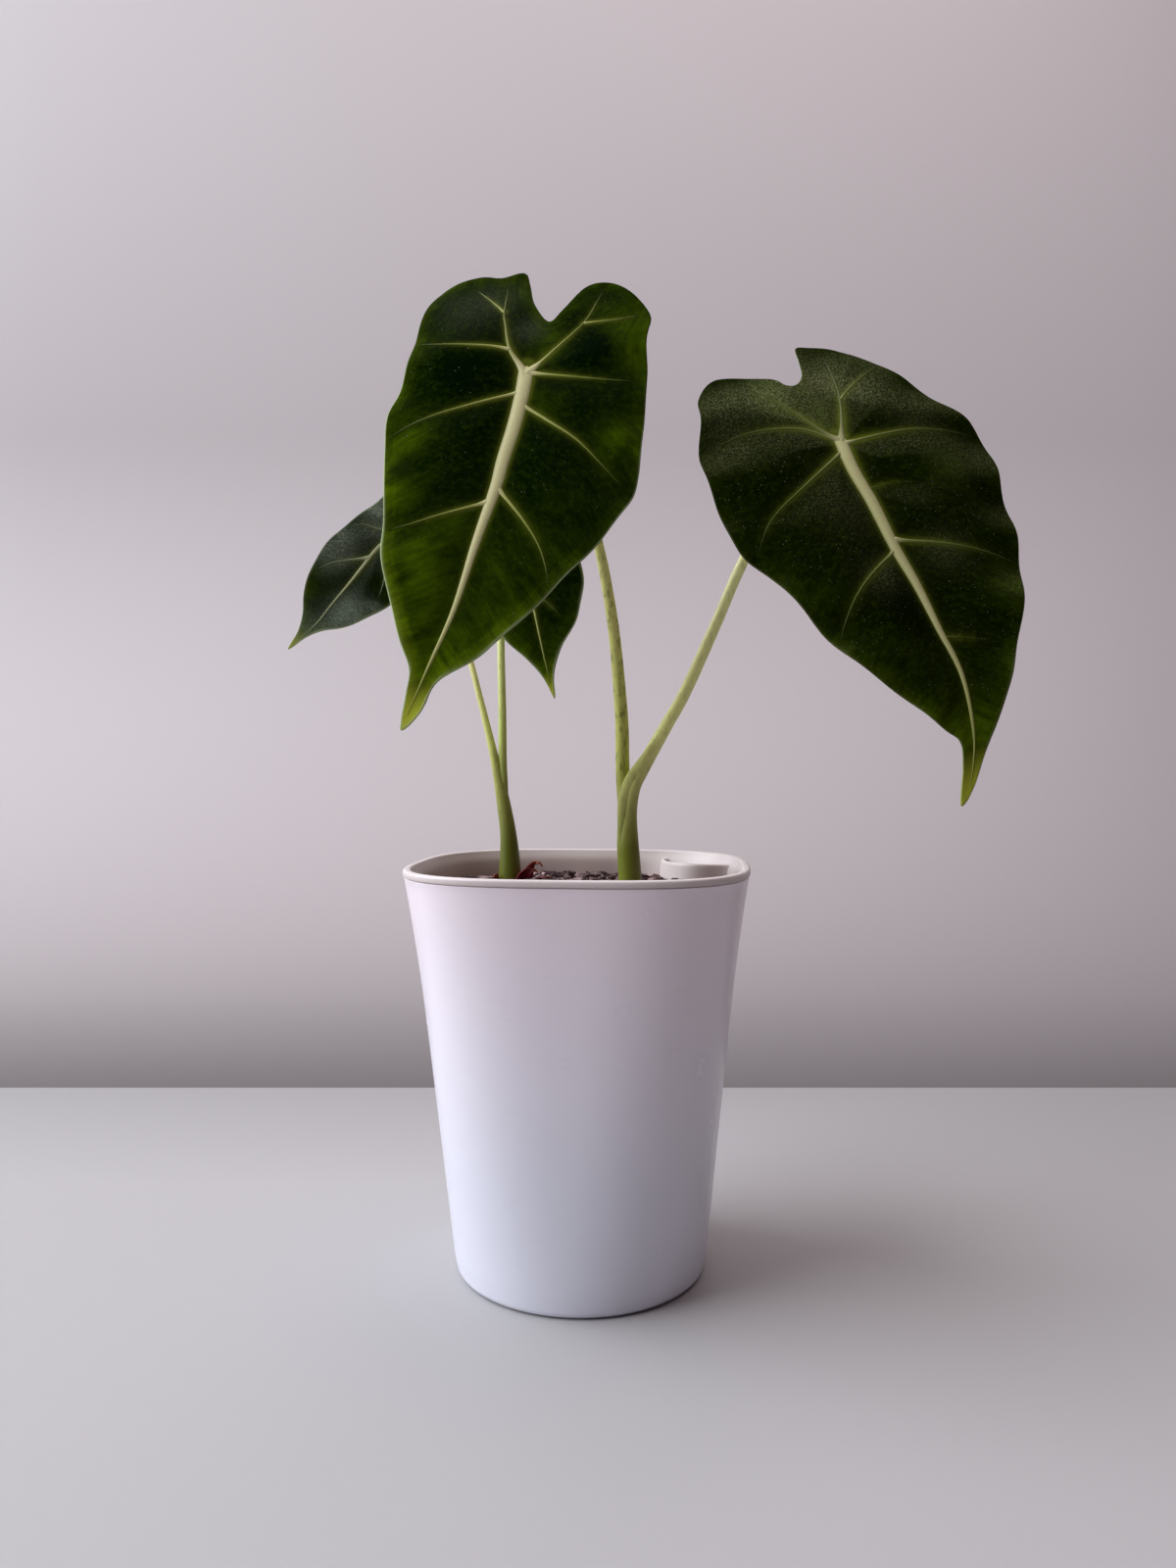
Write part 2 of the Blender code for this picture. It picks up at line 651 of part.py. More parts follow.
def blade_height(leaf, u, v, edge):
    """How far the blade stands out of its plane: arched, folded, puffed between veins, waved.

    edge is 0 at the stalk and 1 at the margin.
    """
    length = blade_length(leaf)
    along = v / length
    arch = leaf.arch * 4 * along * (1 - along)
    across = u - midrib_shift(leaf, v)
    aside = math.hypot(across, FOLD_ROUNDING) - FOLD_ROUNDING
    fold = leaf.fold * aside - leaf.droop * across * across
    nearest = min(distance_to(rib.points, u, v) for rib in leaf.ribs)
    size = min(1.0, length / GROWN_LENGTH)
    quilt = QUILT_HEIGHT * size * (1 - math.exp(-((nearest / (QUILT_REACH * size)) ** 2)))
    phase = 0.0 if across < 0 else 2.0
    wave = math.sin(2 * math.pi * v / (MARGIN_WAVE_LENGTH * size) + phase)
    return arch + fold + quilt + MARGIN_WAVE * size * edge**4 * wave


def outline_samples(leaf):
    """The closed outline with one smooth point between each two drawn ones."""
    points = [tuple(map(float, p)) for p in leaf.outline]
    count = len(points)
    samples = []
    for i in range(count):
        ends = [points[(i + k) % count] for k in (-1, 0, 1, 2)]
        samples += [blend(ends, 0.0), blend(ends, 0.5)]
    return samples


def blade_surface(leaf):
    """The blade's middle surface, as a bmesh of triangles, open at the stalk's hole."""
    form = bmesh.new()
    outline = [Vector((u - midrib_shift(leaf, v), v)) for u, v in outline_samples(leaf)]
    hole = STALK_HOLE * leaf.stalk[-1][3] / GROWN_STALK
    rings = []
    for share in (0.0,) + leaf.rings:
        ring = []
        for margin in outline:
            inner = margin.normalized() * hole
            across, v = inner.lerp(margin, share)
            u = across + midrib_shift(leaf, v)
            ring.append(form.verts.new((u, v, blade_height(leaf, u, v, share))))
        rings.append(ring)
    count = len(outline)
    for inner, outer in zip(rings, rings[1:]):
        for i in range(count):
            j = (i + 1) % count
            form.faces.new((inner[i], inner[j], outer[j], outer[i]))
    bmesh.ops.triangulate(form, faces=form.faces)
    bmesh.ops.recalc_face_normals(form, faces=form.faces)
    return form


def build_blade(leaf, group, green):
    blade = object_from(blade_surface(leaf), leaf.name + "_blade", group)
    frame = leaf_frame(leaf)
    frame.translation *= MM
    blade.matrix_world = frame
    sheet = blade.modifiers.new("thickness", "SOLIDIFY")
    sheet.thickness = BLADE * MM
    sheet.offset = 0.0
    blade.data.materials.append(green)
    blade.data.shade_smooth()
    return blade


def rib_solid(leaf, rib, surface, raised, group):
    """A low ridge that follows the blade's upper face and tapers to its end."""
    path = smooth_path([(u, v, 0.0) for u, v in rib.points], RIB_STEP)
    form = bmesh.new()
    lift = BLADE / 2 + RIB_CLEARANCE + raised
    rings = []
    for i, (u, v, _) in enumerate(path):
        ahead = path[min(i + 1, len(path) - 1)]
        behind = path[max(i - 1, 0)]
        heading = Vector((ahead[0] - behind[0], ahead[1] - behind[1])).normalized()
        side = Vector((heading.y, -heading.x))
        share = i / (len(path) - 1)
        half = (rib.start_width + share * (rib.end_width - rib.start_width)) / 2
        crest = half * RIB_CREST
        thickness = RIB_THICKNESS + RIB_THICKENING * half
        ring = []
        for aside, rise in ((-half, 0), (half, 0), (crest, thickness), (-crest, thickness)):
            place = Vector((u, v)) + side * aside
            ring.append(form.verts.new((place.x, place.y, drop(surface, place) + lift + rise)))
        rings.append(ring)
    for near, far in zip(rings, rings[1:]):
        for i in range(4):
            j = (i + 1) % 4
            form.faces.new((near[i], near[j], far[j], far[i]))
    form.faces.new(rings[0])
    form.faces.new(rings[-1])
    bmesh.ops.triangulate(form, faces=form.faces)
    bmesh.ops.recalc_face_normals(form, faces=form.faces)
    bmesh.ops.transform(form, matrix=leaf_frame(leaf), verts=form.verts)
    return object_from(form, "rib", group)


def drop(surface, place):
    """Height of the blade's middle surface over a point of its plane, or of its hole's edge."""
    start = Vector((place.x, place.y, 100.0))
    hit = surface.ray_cast(start, Vector((0, 0, -1)))[0]
    if hit is None:
        hit = surface.find_nearest(Vector((place.x, place.y, 0.0)))[0]
    return hit.z


def neck_points(leaf, surface):
    """The stalk's last points, square to the blade and through its hole to the ribs."""
    radius = leaf.stalk[-1][3] + NECK_SPARE
    top = drop(surface, Vector((0.0, 0.1))) + BLADE / 2 + RIB_CLEARANCE + NECK_RISE
    places = [Vector((NECK_ASIDE, 0.0, -depth)) for depth in NECK_DEPTHS]
    places.append(Vector((0.0, 0.0, top)))
    frame = leaf_frame(leaf)
    return tuple((*(frame @ place), radius) for place in places)


def build_stalk(leaf, group, cutters, pale):
    """The stalk, its sheath and the veins on the blade's upper face, as one solid.

    The veins lie at three heights a hair apart, so that no two of them share a face.
    """
    form = blade_surface(leaf)
    surface = BVHTree.FromBMesh(form)
    form.free()
    points = leaf.stalk + neck_points(leaf, surface)
    stalk = tube(leaf.name + "_stalk_and_ribs", points, group, STALK_STEP)
    joined = []
    if leaf.sheath:
        joined.append(tube("sheath", leaf.sheath, cutters, STALK_STEP))
    for i, rib in enumerate(leaf.ribs):
        joined.append(rib_solid(leaf, rib, surface, RIB_STAGGER * (i % 3), cutters))
    boolean(stalk, "UNION", joined)
    stalk.data.materials.append(pale)
    stalk.data.shade_smooth()
    return stalk


def build_bud_scale(group):
    """A dry curled scale: a cupped strip that leans over, sunk at its foot in the soil."""
    form = bmesh.new()
    rows = []
    for x, y, z, width in smooth_path(BUD_SCALE, 3.0):
        row = []
        for share in (-1.0, -0.35, 0.35, 1.0):
            cup = BUD_SCALE_CUP * share * share * width / 5
            row.append(form.verts.new((x + cup, y + share * width / 2, z)))
        rows.append(row)
    for low, high in zip(rows, rows[1:]):
        for i in range(3):
            form.faces.new((low[i], low[i + 1], high[i + 1], high[i]))
    bmesh.ops.triangulate(form, faces=form.faces)
    scale = object_from(form, "dried_bud_scale", group)
    sheet = scale.modifiers.new("thickness", "SOLIDIFY")
    sheet.thickness = BUD_SCALE_THICKNESS * MM
    sheet.offset = 0.0
    scale.data.materials.append(material("dried_scale", (0.23, 0.035, 0.018), 0.8))
    scale.data.shade_smooth()
    return scale


def soil_holes(cutters):
    """Room in the soil for what stands in it: the two sheathed stalks and the dried scale."""
    holes = []
    for leaf in LEAVES:
        if leaf.name not in STANDS_IN_SHEATH:
            x, y, z, radius = leaf.stalk[0]
            foot = ((x, y, z - GAP, radius),) + leaf.stalk[:4]
            holes.append(tube("stalk_hole", foot, cutters, STALK_STEP, GAP + NECK_SPARE))
    x, y, z, width = BUD_SCALE[0]
    foot = ((x, y, z - GAP, BUD_SCALE_HOLE), (x, y, POT_HEIGHT, BUD_SCALE_HOLE))
    holes.append(tube("scale_hole", foot, cutters, 20.0))
    return holes


def open_sheath(stalks, cutters):
    """Cuts the room in each sheath for the stalk that rises out of it."""
    by_name = {leaf.name: leaf for leaf in LEAVES}
    for inner, outer in STANDS_IN_SHEATH.items():
        points = by_name[inner].stalk
        x, y, z, radius = points[0]
        room = ((x, y, z - GAP, radius),) + points[:5]
        boolean(stalks[outer], "DIFFERENCE", [tube("sheath_room", room, cutters, STALK_STEP, GAP)])


def main():
    clear_scene()
    parts = new_collection("potted_frydek_alocasia")
    cutters = new_collection("cutters")
    green = material("leaf_blade_green", (0.012, 0.035, 0.012), 0.6)
    pale = material("leaf_stalk_pale_green", (0.45, 0.52, 0.20), 0.5)
    build_outer_pot(parts)
    build_liner(parts, cutters)
    stalks = {}
    for leaf in LEAVES:
        build_blade(leaf, parts, green)
        stalks[leaf.name] = build_stalk(leaf, parts, cutters, pale)
    open_sheath(stalks, cutters)
    build_soil(parts, cutters, soil_holes(cutters))
    build_bud_scale(parts)
    bpy.data.collections.remove(cutters)


main()
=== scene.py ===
"""Looks of the potted frydek alocasia.

A white self-watering pot with its liner and fill port, potting mix, two shoots with two leaves each
and a dried bud scale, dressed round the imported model. Sizes are millimetres and become metres
through MM. A leaf is drawn flat in its own frame: u runs across it, v from the point where the stalk
meets the blade down to the tip, and w stands out of its upper face.
"""

import logging
import math
import random
from collections.abc import Callable
from dataclasses import dataclass
from enum import Enum

import bmesh
import bpy
import numpy as np
from mathutils import Matrix, Vector, noise
from mathutils.bvhtree import BVHTree


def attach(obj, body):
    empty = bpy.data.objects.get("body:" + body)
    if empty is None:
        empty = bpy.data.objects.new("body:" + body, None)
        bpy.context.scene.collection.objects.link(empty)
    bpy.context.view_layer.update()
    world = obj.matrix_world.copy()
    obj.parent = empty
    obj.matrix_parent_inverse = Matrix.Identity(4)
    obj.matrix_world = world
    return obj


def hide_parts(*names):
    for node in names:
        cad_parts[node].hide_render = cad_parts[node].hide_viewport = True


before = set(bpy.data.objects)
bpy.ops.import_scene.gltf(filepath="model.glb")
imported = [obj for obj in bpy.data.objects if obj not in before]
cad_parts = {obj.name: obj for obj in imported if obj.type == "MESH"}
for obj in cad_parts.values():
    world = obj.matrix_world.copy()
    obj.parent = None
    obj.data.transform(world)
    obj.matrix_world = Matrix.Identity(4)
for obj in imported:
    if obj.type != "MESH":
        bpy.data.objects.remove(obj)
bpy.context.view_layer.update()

LOG = logging.getLogger("potted_alocasia")
MM = 0.001


class Side(Enum):
    """Which face of a blade a surface belongs to."""

    UPPER = 1.0
    UNDER = -1.0


def linear(colour: str) -> tuple[float, float, float, float]:
    """Turns an sRGB hex colour into linear red, green, blue and alpha.

    Args:
        colour: a hex colour such as "#c0ffee".

    Returns:
        The linear colour with an alpha of 1.
    """
    channels = []
    for start in (1, 3, 5):
        value = int(colour[start:start + 2], 16) / 255
        channels.append(value / 12.92 if value <= 0.04045 else ((value + 0.055) / 1.055) ** 2.4)
    return (*channels, 1.0)


def metres(millimetres: tuple) -> tuple:
    """Numbers in metres."""
    return tuple(x * MM for x in millimetres)


class Shader:
    """A material and the one way to add nodes to it."""

    def __init__(self, name: str) -> None:
        """Makes an empty Principled material.

        Args:
            name: the material's name.
        """
        self.material = bpy.data.materials.new(name)
        self.material.use_nodes = True
        self.tree = self.material.node_tree

    def add(
        self, kind: str, inputs: dict | tuple = (), output: str | int = 0, **settings
    ) -> bpy.types.NodeSocket:
        """Adds a node, sets its options and sets or links its inputs.

        Args:
            kind: the node's type name without its first word, ShaderNode.
            inputs: values, sRGB hex colours or other nodes' outputs, by input name or, in a tuple,
                in the order of the inputs that the node shows with these options.
            output: the output that is wanted, by name or by its number among those shown.
            **settings: options of the node.

        Returns:
            That output.
        """
        node = self.tree.nodes.new("ShaderNode" + kind)
        for option, value in settings.items():
            setattr(node, option, value)
        self.feed(node, inputs)
        if isinstance(output, str):
            return node.outputs[output]
        return [socket for socket in node.outputs if socket.enabled][output]

    def feed(self, node: bpy.types.Node, inputs: dict | tuple) -> None:
        """Sets or links a node's inputs.

        Args:
            node: the node.
            inputs: the same as for add.
        """
        if isinstance(inputs, dict):
            pairs = [(node.inputs[name], value) for name, value in inputs.items()]
        else:
            pairs = list(zip([socket for socket in node.inputs if socket.enabled], inputs))
        for socket, value in pairs:
            if isinstance(value, bpy.types.NodeSocket):
                self.tree.links.new(value, socket)
            else:
                socket.default_value = linear(value) if isinstance(value, str) else value

    def done(self, inputs: dict) -> bpy.types.Material:
        """Feeds the Principled shader and gives the material."""
        self.feed(self.tree.nodes["Principled BSDF"], inputs)
        return self.material


def catmull_rom(rows: np.ndarray, step: float, closed: bool = False) -> np.ndarray:
    """Samples a smooth curve through rows of numbers.

    Args:
        rows: the points; columns past the place, such as a radius, follow smoothly.
        step: the spacing aimed at.
        closed: whether the curve returns to its first point.

    Returns:
        The sampled rows, with every given row among them.
    """
    rows = np.asarray(rows, float)
    last = len(rows) - 1
    sampled = []
    for i in range(len(rows) if closed else last):
        if closed:
            ends = [rows[(i + k) % len(rows)] for k in (-1, 0, 1, 2)]
        else:
            ends = [rows[max(i - 1, 0)], rows[i], rows[i + 1], rows[min(i + 2, last)]]
        place = min(3, rows.shape[1])
        count = max(1, round(float(np.linalg.norm((ends[2] - ends[1])[:place])) / step))
        t = (np.arange(count) / count)[:, None]
        sampled.append(
            (
                (-t + 2 * t**2 - t**3) * ends[0]
                + (2 - 5 * t**2 + 3 * t**3) * ends[1]
                + (t + 4 * t**2 - 3 * t**3) * ends[2]
                + (t**3 - t**2) * ends[3]
            )
            / 2
        )
    if not closed:
        sampled.append(rows[-1:])
    return np.vstack(sampled)


def distance_to(line: np.ndarray, places: np.ndarray, closed: bool = False) -> np.ndarray:
    """Distance from each place to a line through points, in the plane.

    Args:
        line: the line's points.
        places: the places to measure from.
        closed: whether the line returns to its first point.

    Returns:
        One distance for each place.
    """
    ends = np.roll(line, -1, axis=0) if closed else line[1:]
    starts = line if closed else line[:-1]
    best = np.full(len(places), np.inf)
    for start, end in zip(starts, ends):
        run = end - start
        offset = places - start
        share = np.clip(offset @ run / max(float(run @ run), 1e-9), 0, 1)
        best = np.minimum(best, np.linalg.norm(offset - share[:, None] * run, axis=1))
    return best


def smoothstep(low: float, high: float, value: np.ndarray) -> np.ndarray:
    """A soft step from 0 at low to 1 at high."""
    t = np.clip((value - low) / (high - low), 0, 1)
    return t * t * (3 - 2 * t)


def bell(distance: np.ndarray, reach: float) -> np.ndarray:
    """A soft bump: 1 at no distance, about a third at the reach."""
    return np.exp(-((distance / reach) ** 2))


def placed(points: np.ndarray, matrix: Matrix) -> np.ndarray:
    """Points taken from a matrix's own frame into the world."""
    table = np.array(matrix)
    return points @ table[:3, :3].T + table[:3, 3]


def linked(name: str, data: bpy.types.ID) -> bpy.types.Object:
    """Makes an object and puts it into the scene.

    Args:
        name: the object's name.
        data: its mesh, light or camera.

    Returns:
        The object.
    """
    thing = bpy.data.objects.new(name, data)
    bpy.context.scene.collection.objects.link(thing)
    return thing


def ring_faces(rows: int, count: int, start: int = 0, wrap: bool = True) -> list:
    """Faces between neighbouring rows of points.

    Args:
        rows: how many rows there are.
        count: how many points a row has.
        start: the number of the first point.
        wrap: whether a row's last point joins its first.

    Returns:
        The faces, as four point numbers each.
    """
    faces = []
    for r in range(rows - 1):
        for i in range(count if wrap else count - 1):
            j = (i + 1) % count
            low = start + r * count
            high = low + count
            faces.append((low + i, low + j, high + j, high + i))
    return faces


def fanned(rows: int, count: int) -> list:
    """Faces of closed rows, with a fan at each end.

    Args:
        rows: how many rows there are; the two middles of the fans are the points after them.
        count: how many points a row has.

    Returns:
        The faces.
    """
    faces = ring_faces(rows, count)
    low = rows * count
    top = low - count
    for i in range(count):
        j = (i + 1) % count
        faces += [(low, j, i), (low + 1, top + i, top + j)]
    return faces


def capped(rows: int, count: int) -> list:
    """Faces of closed rows, with one flat face over each end."""
    first = tuple(range(count))
    return ring_faces(rows, count) + [first[::-1], tuple(i + (rows - 1) * count for i in first)]


def flipped(faces: list) -> list:
    """The same faces seen from their other side."""
    return [tuple(reversed(face)) for face in faces]


def thickened(front: np.ndarray, offset: np.ndarray) -> tuple[np.ndarray, list]:
    """A closed skin's points and faces, from one side's points by row and the way to the other."""
    loop = np.concatenate([front, (front + offset)[:, ::-1]], axis=1)
    return loop.reshape(-1, 3), capped(*loop.shape[:2])


@dataclass
class Sheet:
    """Points and faces of a piece while it is built, in millimetres, with marks for its finish."""

    points: np.ndarray
    faces: list
    marks: dict
    finish: int = 0

    def joined(self, other: "Sheet") -> "Sheet":
        """Puts another sheet's points, faces and marks after this one's.

        Args:
            other: a sheet with the same names of marks.

        Returns:
            The two as one sheet, whose faces are a list with their finish's number.
        """
        start = len(self.points)
        faces = self.numbered() + [(tuple(i + start for i in f), n) for f, n in other.numbered()]
        marks = {name: np.vstack([self.marks[name], other.marks[name]]) for name in self.marks}
        return Sheet(np.vstack([self.points, other.points]), faces, marks, finish=-1)

    def numbered(self) -> list:
        """The faces, each with the number of its finish."""
        if self.finish < 0:
            return self.faces
        return [(tuple(f), self.finish) for f in self.faces]

    def piece(self, name: str, finishes: list, sharp: float) -> bpy.types.Object:
        """Makes the object.

        Args:
            name: the object's name.
            finishes: its materials, by their number.
            sharp: edges that turn by more degrees than this stay sharp.

        Returns:
            The object, smooth shaded, with its marks as attributes of its points.
        """
        numbered = self.numbered()
        mesh = bpy.data.meshes.new(name)
        mesh.from_pydata((self.points * MM).tolist(), [], [f for f, _ in numbered])
        for material in finishes:
            mesh.materials.append(material)
        mesh.polygons.foreach_set("material_index", [n for _, n in numbered])
        for label, values in self.marks.items():
            attribute = mesh.attributes.new(label, "FLOAT_VECTOR", "POINT")
            attribute.data.foreach_set("vector", values.astype(np.float32).ravel())
        mesh.validate()
        mesh.shade_smooth()
        mesh.set_sharp_from_angle(angle=math.radians(sharp))
        return linked(name, mesh)


def hand_over(piece: bpy.types.Object, slot: str, *nodes: str) -> None:
    """Lets a piece ride on the part and hides the solids that it stands for.

    Args:
        piece: the finished object.
        slot: the record's material slot, not used.
        *nodes: the solids it replaces.
    """
    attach(piece, "root")
    if nodes:
        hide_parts(*nodes)
    LOG.info("%s: %d faces, stands for %s", piece.name, len(piece.data.polygons), ", ".join(nodes))


@dataclass(frozen=True)
class GlossPolypropylene:
    """Injection-moulded white polypropylene: a soft, slightly wavy shine and faint handling marks.

    It runs from a lower colour below to colour above, painted shade that darkens it lower down. A piece
    with a lit and a shaded point gets painted shade inside, below its lip, but hardly any round the
    first point, save for a patch round the second.
    """

    name: str
    colour: str
    roughness: float
    shaded_low_colour: str = ""
    speck: tuple | None = None
    lit_point: tuple | None = None
    shade_point: tuple | None = None
    smudge_colour: str = "#8d8080"
    painted_shade_colour: str = "#82675d"
    speck_colour: str = "#39304a"
    colour_heights: tuple = (40.0, 138.0)
    painted_shade_heights: tuple = (144.4, 140.5)
    lit_point_reach: tuple = (24.0, 40.0)
    shade_point_reach: tuple = (14.0, 6.0)
    wave_mm: float = 34.0
    smudge_mm: float = 9.0
    speck_mm: float = 0.55

    def make(self) -> bpy.types.Material:
        """Builds the material."""
        shader = Shader(self.name)
        place = shader.add("TexCoord", output="Object")
        height = shader.add("SeparateXYZ", (place,), "Z")
        wave = shader.add("TexNoise", (place, 1 / (self.wave_mm * MM), 1.0))
        smudge = shader.add("TexNoise", (place, 1 / (self.smudge_mm * MM), 5.0, 0.65))
        gloss = shader.add("MapRange", (smudge, 0.35, 0.75, self.roughness, self.roughness + 0.09))
        # Painted shade: the colour is darker lower down, from the lower colour up to the colour.
        rise = shader.add("MapRange", (height, *metres(self.colour_heights)))
        film = shader.add("MapRange", (smudge, 0.58, 0.8, 0.0, 0.07))
        layers = [(rise, self.colour), (film, self.smudge_colour)]
        if self.lit_point:
            # Painted shade inside the liner below its lip: weak round the lit point, with a patch round
            # the shaded point.
            depth = shader.add("MapRange", (height, *metres(self.painted_shade_heights), 0.0, 0.64))
            away = shader.add("VectorMath", (place, metres(self.lit_point)), operation="DISTANCE")
            away = shader.add("MapRange", (away, *metres(self.lit_point_reach), 0.1, 1.0))
            near = shader.add("VectorMath", (place, metres(self.shade_point)), operation="DISTANCE")
            near = shader.add("MapRange", (near, *metres(self.shade_point_reach), 0.0, 0.55))
            painted_shade = shader.add("Math", (depth, away), operation="MULTIPLY")
            painted_shade = shader.add("Math", (painted_shade, near), operation="MAXIMUM")
            layers.append((painted_shade, self.painted_shade_colour))
        if self.speck:
            edge = self.speck_mm * MM
            dot = shader.add("VectorMath", (place, metres(self.speck)), operation="DISTANCE")
            dot = shader.add("MapRange", (dot, edge, edge * 0.4, 0.0, 0.8))
            layers.append((dot, self.speck_colour))
        colour = self.shaded_low_colour or self.colour
        for share, over in layers:
            colour = shader.add("Mix", (share, colour, over), data_type="RGBA")
        relief = shader.add("Bump", {"Height": wave, "Strength": 0.25, "Distance": 0.5 * MM})
        inputs = {"Base Color": colour, "Roughness": gloss, "IOR": 1.49, "Normal": relief}
        return shader.done(inputs)


@dataclass(frozen=True)
class VelvetBlade:
    """A living blade: near-black velvety green that takes light only in a dull bloom.

    The colour lifts to olive in patches, at the margin and at the tip, a green glow lies along each
    vein, fine stripes follow the side veins, pale dust specks lie on it, and a film of dust and
    painted sheen lies in patches and on what faces up. The more grit, the more the film breaks up
    into grains. Its patterns are read at leaf_place, which is in millimetres already.
    """

    name: str
    dust: float
    bloom: float
    film: str
    dark: str
    grit: float
    margin: str
    olive: str = "#4b6104"
    tip: str = "#a0a634"
    glow: str = "#5f671e"
    speck: str = "#8d9480"
    underside: str = "#8b9d68"
    sheen: str = "#b9c6ae"
    blotch_mm: float = 15.0
    stripe_mm: float = 0.95
    fleck_mm: float = 2.2
    band_mm: float = 4.2
    grain_mm: float = 0.8
    speck_mm: float = 1.2
    nap_mm: float = 0.6

    def make(self) -> bpy.types.Material:
        """Builds the material."""
        shader = Shader(self.name)
        place, *marks = [
            shader.add("Attribute", output="Vector", attribute_name=label)
            for label in ("leaf_place", "leaf_marks", "leaf_tones")
        ]
        marks, tones = (shader.add("SeparateXYZ", (mark,)).node.outputs for mark in marks)
        along = shader.add("VectorMath", (place, (0.12, 0.0, 1.0)), operation="MULTIPLY")
        stripe = shader.add("TexNoise", (along, 1 / self.stripe_mm, 2.0))
        band = shader.add("TexNoise", (along, 1 / self.band_mm, 1.0))
        blotch = shader.add("TexNoise", (place, 1 / self.blotch_mm, 4.0, 0.6))
        fleck = shader.add("TexNoise", (place, 1 / self.fleck_mm, 3.0, 0.65))
        grain = shader.add("TexNoise", (place, 1 / self.grain_mm, 3.0, 0.75))
        nap = shader.add("TexNoise", (place, 1 / self.nap_mm, 1.0))
        banded = shader.add("Math", (band, 1.5, -0.3), operation="MULTIPLY_ADD")
        striped = shader.add("Math", (stripe, 1.2, banded), operation="MULTIPLY_ADD")
        uneven = shader.add("MapRange", (blotch, 0.36, 0.66, 0.35, 1.5))
        patched = shader.add("Math", (striped, uneven), operation="MULTIPLY")
        fleck = shader.add("MapRange", (fleck, 0.46, 0.76, 0.0, 0.13))
        inputs = (patched, tones["X"], fleck)
        lift = shader.add("Math", inputs, operation="MULTIPLY_ADD", use_clamp=True)
        grains = (0.55 * (1 - self.grit), 0.55 + 1.55 * self.grit)
        # Film of dust and painted sheen: grey in grains where the leaf's tones call for it.
        film = shader.add("MapRange", (grain, 0.455, 0.63, *grains))
        dust_and_sheen = shader.add("Math", (film, tones["Z"]), operation="MULTIPLY", use_clamp=True)
        cells = shader.add("TexVoronoi", (place, 1 / self.speck_mm), "Distance")
        chance = shader.add("SeparateColor", (cells.node.outputs["Color"],))
        size = shader.add("MapRange", (chance, 1 - self.dust, 1.0, 0.0, 0.2))
        speck = shader.add("Math", (cells, size), operation="LESS_THAN")
        speck = shader.add("Math", (speck, 0.35), operation="MULTIPLY")
        below = shader.add("MapRange", (marks["Z"], 0.3, -0.3))
        colour = self.dark
        for share, over in (
            (lift, self.olive),
            (marks["X"], self.glow),
            (tones["Y"], self.tip),
            (marks["Y"], self.margin),
            (dust_and_sheen, self.film),
            (speck, self.speck),
            (below, self.underside),
        ):
            colour = shader.add("Mix", (share, colour, over), data_type="RGBA")
        height = shader.add("Math", (nap, 0.35, stripe), operation="MULTIPLY_ADD")
        inputs = {
            "Base Color": colour,
            "Roughness": 0.5,
            "Specular IOR Level": 0.0,
            "Sheen Weight": self.bloom,
            "Sheen Roughness": 0.4,
            "Sheen Tint": self.sheen,
            "Normal": shader.add(
                "Bump", {"Height": height, "Strength": 0.35, "Distance": 0.25 * MM}
            ),
        }
        return shader.done(inputs)


@dataclass(frozen=True)
class PaleVein:
    """Waxy cream vein tissue: opaque and smooth on the midrib, greener and thinner on side veins."""

    name: str
    cream: str
    green: str
    end: str = "#26380a"
    flank: str = "#5a5f16"
    fleck: str = "#a09f6d"
    fleck_mm: float = 1.4

    def make(self) -> bpy.types.Material:
        """Builds the material."""
        shader = Shader(self.name)
        marks = shader.add("Attribute", output="Vector", attribute_name="stalk_marks")
        marks = shader.add("SeparateXYZ", (marks,)).node.outputs
        place = shader.add("TexCoord", output="Object")
        wide = shader.add("MapRange", (marks["Z"], 0.9, 2.6))
        aside = shader.add("Math", (marks["Y"],), operation="ABSOLUTE")
        flank = shader.add("MapRange", (aside, 0.58, 1.0, 0.0, 0.85))
        fleck = shader.add("TexNoise", (place, 1 / (self.fleck_mm * MM), 2.0))
        fleck = shader.add("MapRange", (fleck, 0.45, 0.8, 0.0, 0.3))
        colour = self.green
        for share, over in (
            (wide, self.cream),
            (flank, self.flank),
            (fleck, self.fleck),
            (marks["X"], self.end),
        ):
            colour = shader.add("Mix", (share, colour, over), data_type="RGBA")
        return shader.done({"Base Color": colour, "Roughness": 0.5, "Specular IOR Level": 0.15})


@dataclass(frozen=True)
class GreenStalk:
    """Smooth waxy stalk skin: pale yellow-green above, olive and mottled towards the soil.

    The heights are where the foot's colour ends, where the middle's is full and where the top's is.
    """

    name: str
    top: str
    middle: str
    foot: str
    mottle: float
    shine: float
    spot: str = "#5c5f22"
    spot_mm: float = 1.6
    heights: tuple = (150.0, 190.0, 250.0)

    def make(self) -> bpy.types.Material:
        """Builds the material."""
        shader = Shader(self.name)
        marks = shader.add("Attribute", output="Vector", attribute_name="stalk_marks")
        height = shader.add("SeparateXYZ", (marks,), "X")
        place = shader.add("TexCoord", output="Object")
        drawn = shader.add("VectorMath", (place, (1.0, 1.0, 0.45)), operation="MULTIPLY")
        spots = shader.add("TexNoise", (drawn, 1 / (self.spot_mm * MM), 3.0, 0.6))
        colour = self.foot
        for share, over in (
            (shader.add("MapRange", (height, *self.heights[:2])), self.middle),
            (shader.add("MapRange", (height, *self.heights[1:])), self.top),
            (shader.add("MapRange", (spots, 0.5, 0.72, 0.0, self.mottle)), self.spot),
        ):
            colour = shader.add("Mix", (share, colour, over), data_type="RGBA")
        relief = shader.add("Bump", {"Height": spots, "Strength": 0.2, "Distance": 0.15 * MM})
        inputs = {"Base Color": colour, "Roughness": 0.42, "Normal": relief}
        return shader.done(inputs | {"Specular IOR Level": self.shine})


